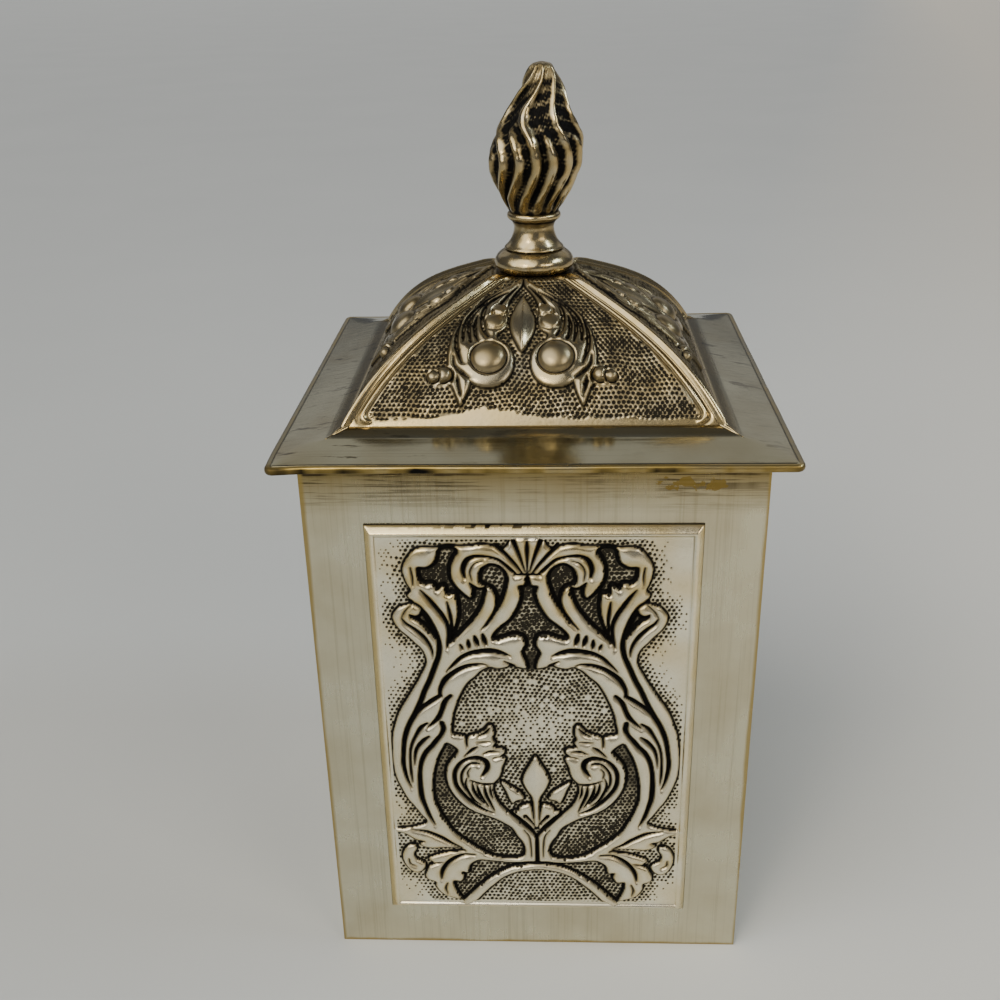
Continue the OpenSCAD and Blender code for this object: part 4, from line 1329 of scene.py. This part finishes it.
def floor_material():
    """A pale floor with a painted pool of warm, brighter light towards the near right, where the warm
    lamps fall.
    """
    n = Nodes("pale_floor")
    cloud = n.noise(6, detail=5.0)
    pale = n.mix(cloud, (0.53, 0.552, 0.552), (0.585, 0.605, 0.603))
    place = n.place()
    # Painted light: a warm, brighter pool on the floor towards the near right.
    near_right = n.plus(n.times(place[0], 3.2), n.times(place[1], -0.8))
    warm = n.plus(near_right, 0.05, clamp=True)
    warm = n.ramp(warm, [(0.0, 0.0), (0.45, 0.45), (1.0, 1.0)])
    n.link(n.mix(warm, pale, (0.72, 0.69, 0.62)), n.shader.inputs["Base Color"])
    n.shader.inputs["Roughness"].default_value = 0.9
    return n.material


# ---------------------------------------------------------------- building


def paint(node, material):
    """Gives a CAD node its material."""
    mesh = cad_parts[node].data
    mesh.materials.clear()
    mesh.materials.append(material)


def build_vessel():
    """The body: CAD walls, base, mouth strip and solder, and four relief panels."""
    wall = wall_material()
    inside = inner_plate("inside_plate")
    solder = plain_metal("solder", (0.42, 0.42, 0.41), (0.20, 0.20, 0.19), 0.35, 300)
    panel = plated_metal("relief_plate", SILVER, (0.80, 0.65, 0.34), rough=(0.17, 0.30), stain=0.3,
                         scratch=0.25)
    for side in SIDES:
        paint(f"{side}_wall", wall)
    paint("base_plate", inside)
    paint("mouth_band", inside)
    paint("corner_solder", solder)
    for side, piece in zip(SIDES, turned_copies(panel_piece(), lambda k: f"relief_panel_{SIDES[k]}")):
        set_down(piece, "vessel", "panel_silver", panel, f"{side}_panel")


def build_lid():
    """The lid: rim, edge wire, dome sides, hip bands and finial, and the CAD parts under it."""
    rim = rim_material()
    wire = plated_metal("edge_wire", (0.30, 0.27, 0.18), BRASS, rough=(0.22, 0.35), stain=0.4,
                        scratch=0.1)
    dome = dark_plate("dome_plate", 0.3)
    cast = dark_plate("finial_metal", 0.4)
    fitting = plain_metal("plain_brass", (0.66, 0.50, 0.24), (0.36, 0.25, 0.10), 0.25, 500)
    set_down(rim_piece(), "lid", "rim_silver", rim, "lid_rim")
    set_down(wire_piece(), "lid", "edge_brass", wire, "rim_wire")
    for side, piece in zip(SIDES, turned_copies(gore_piece(), lambda k: f"dome_side_{SIDES[k]}")):
        set_down(piece, "lid", "dome_silver", dome, f"dome_{side}")
    hips = ("front_left", "front_right", "back_right", "back_left")
    for hip, piece in zip(hips, turned_copies(rib_piece(), lambda k: f"hip_band_{hips[k]}")):
        set_down(piece, "lid", "rib_silver", dome, f"hip_rib_{hip}")
    ring = lathe("finial_bun", RING_OUTLINE, ring_low[2], seed=5)
    stem = lathe("finial_neck", STEM_OUTLINE, stem_low[2], seed=8)
    for piece, node in ((ring, "ring"), (stem, "stem"), (flame_piece(), "flame")):
        set_down(piece, "lid", "finial_silver", cast, f"finial_{node}")
    paint("lid_collar", inner_plate("collar_plate"))
    for node in ("finial_stud", "finial_washer", "finial_nut"):
        paint(node, fitting)


# ---------------------------------------------------------------- stage, light and camera


FLOOR_HALF = 25.0
FLOOR_Z = -0.00005


def build_stage():
    """A wide plain floor, a hair below the vessel's foot."""
    turns = ((-1, -1), (1, -1), (1, 1), (-1, 1))
    corners = [(x * FLOOR_HALF, y * FLOOR_HALF, FLOOR_Z) for x, y in turns]
    mesh = bpy.data.meshes.new("floor")
    mesh.from_pydata(corners, [], [(0, 1, 2, 3)])
    floor = bpy.data.objects.new("floor", mesh)
    bpy.context.collection.objects.link(floor)
    mesh.materials.append(floor_material())


def add_light(light, name, power, colour, direction):
    """Sets a lamp going in a direction, and returns its object."""
    light.energy, light.color = power, colour
    lamp = bpy.data.objects.new(name, light)
    lamp.rotation_euler = direction.to_track_quat("-Z", "Y").to_euler()
    bpy.context.collection.objects.link(lamp)
    return lamp


def area_light(name, place, target, size, power, colour):
    """A rectangular lamp that points at a target."""
    light = bpy.data.lights.new(name, "AREA")
    light.shape = "RECTANGLE"
    light.size, light.size_y = size
    lamp = add_light(light, name, power, colour, Vector(target) - Vector(place))
    lamp.location = place


def build_light():
    """Soft light: a pale sky, a wide sun, a big card at the back and three small lamps."""
    world = bpy.data.worlds.new("studio")
    bpy.context.scene.world = world
    world.use_nodes = True
    sky = world.node_tree.nodes["Background"].inputs
    sky["Color"].default_value = (0.86, 0.90, 1.0, 1)
    sky["Strength"].default_value = 0.12
    sun = bpy.data.lights.new("daylight", "SUN")
    sun.angle = math.radians(65)
    add_light(sun, "daylight", 2.5, (1.0, 0.97, 0.91), Vector((0.55, 0.55, -0.75)))
    middle = (0, 0, 0.1)
    area_light("back_card", (0, 8.0, 5.2), middle, (16.0, 6.5), 120.0, (1.0, 0.99, 0.95))
    area_light("cool_window", (0.58, -0.03, 0.66), middle, (0.22, 0.14), 1.6, (0.78, 0.90, 1.0))
    area_light("front_lamp", (0.7, -0.75, 0.75), (0.30, -0.32, 0), (0.5, 0.35), 3.4, (1.0, 0.91, 0.76))
    area_light("warm_lamp", (-0.30, -0.62, 0.62), middle, (0.20, 0.12), 1.4, (1.0, 0.86, 0.62))


# Where the photo was taken from, in metres, and the camera's turns in radians.
CAMERA_PLACE = (0.00404, -0.2614, 0.21766)
CAMERA_PITCH, CAMERA_YAW, CAMERA_ROLL = 0.4351, -0.0494, -0.0235
CAMERA_LENS = 42.58


def build_camera():
    """The camera at the photo's place: turned about the vertical, tipped down, then rolled."""
    cp, sp = math.cos(CAMERA_PITCH), math.sin(CAMERA_PITCH)
    cy, sy = math.cos(CAMERA_YAW), math.sin(CAMERA_YAW)
    ahead = Vector((sy * cp, cy * cp, -sp))
    right = Vector((cy, -sy, 0))
    up = right.cross(ahead)
    cr, sr = math.cos(CAMERA_ROLL), math.sin(CAMERA_ROLL)
    rolled_right, rolled_up = cr * right + sr * up, -sr * right + cr * up
    data = bpy.data.cameras.new("camera")
    data.lens = CAMERA_LENS
    data.sensor_width = 36.0
    data.clip_start = 0.01
    camera = bpy.data.objects.new("camera", data)
    turn = Matrix((rolled_right, rolled_up, -ahead)).transposed().to_4x4()
    camera.matrix_world = Matrix.Translation(CAMERA_PLACE) @ turn
    bpy.context.collection.objects.link(camera)
    bpy.context.scene.camera = camera


build_camera()
build_light()
build_stage()
build_vessel()
build_lid()
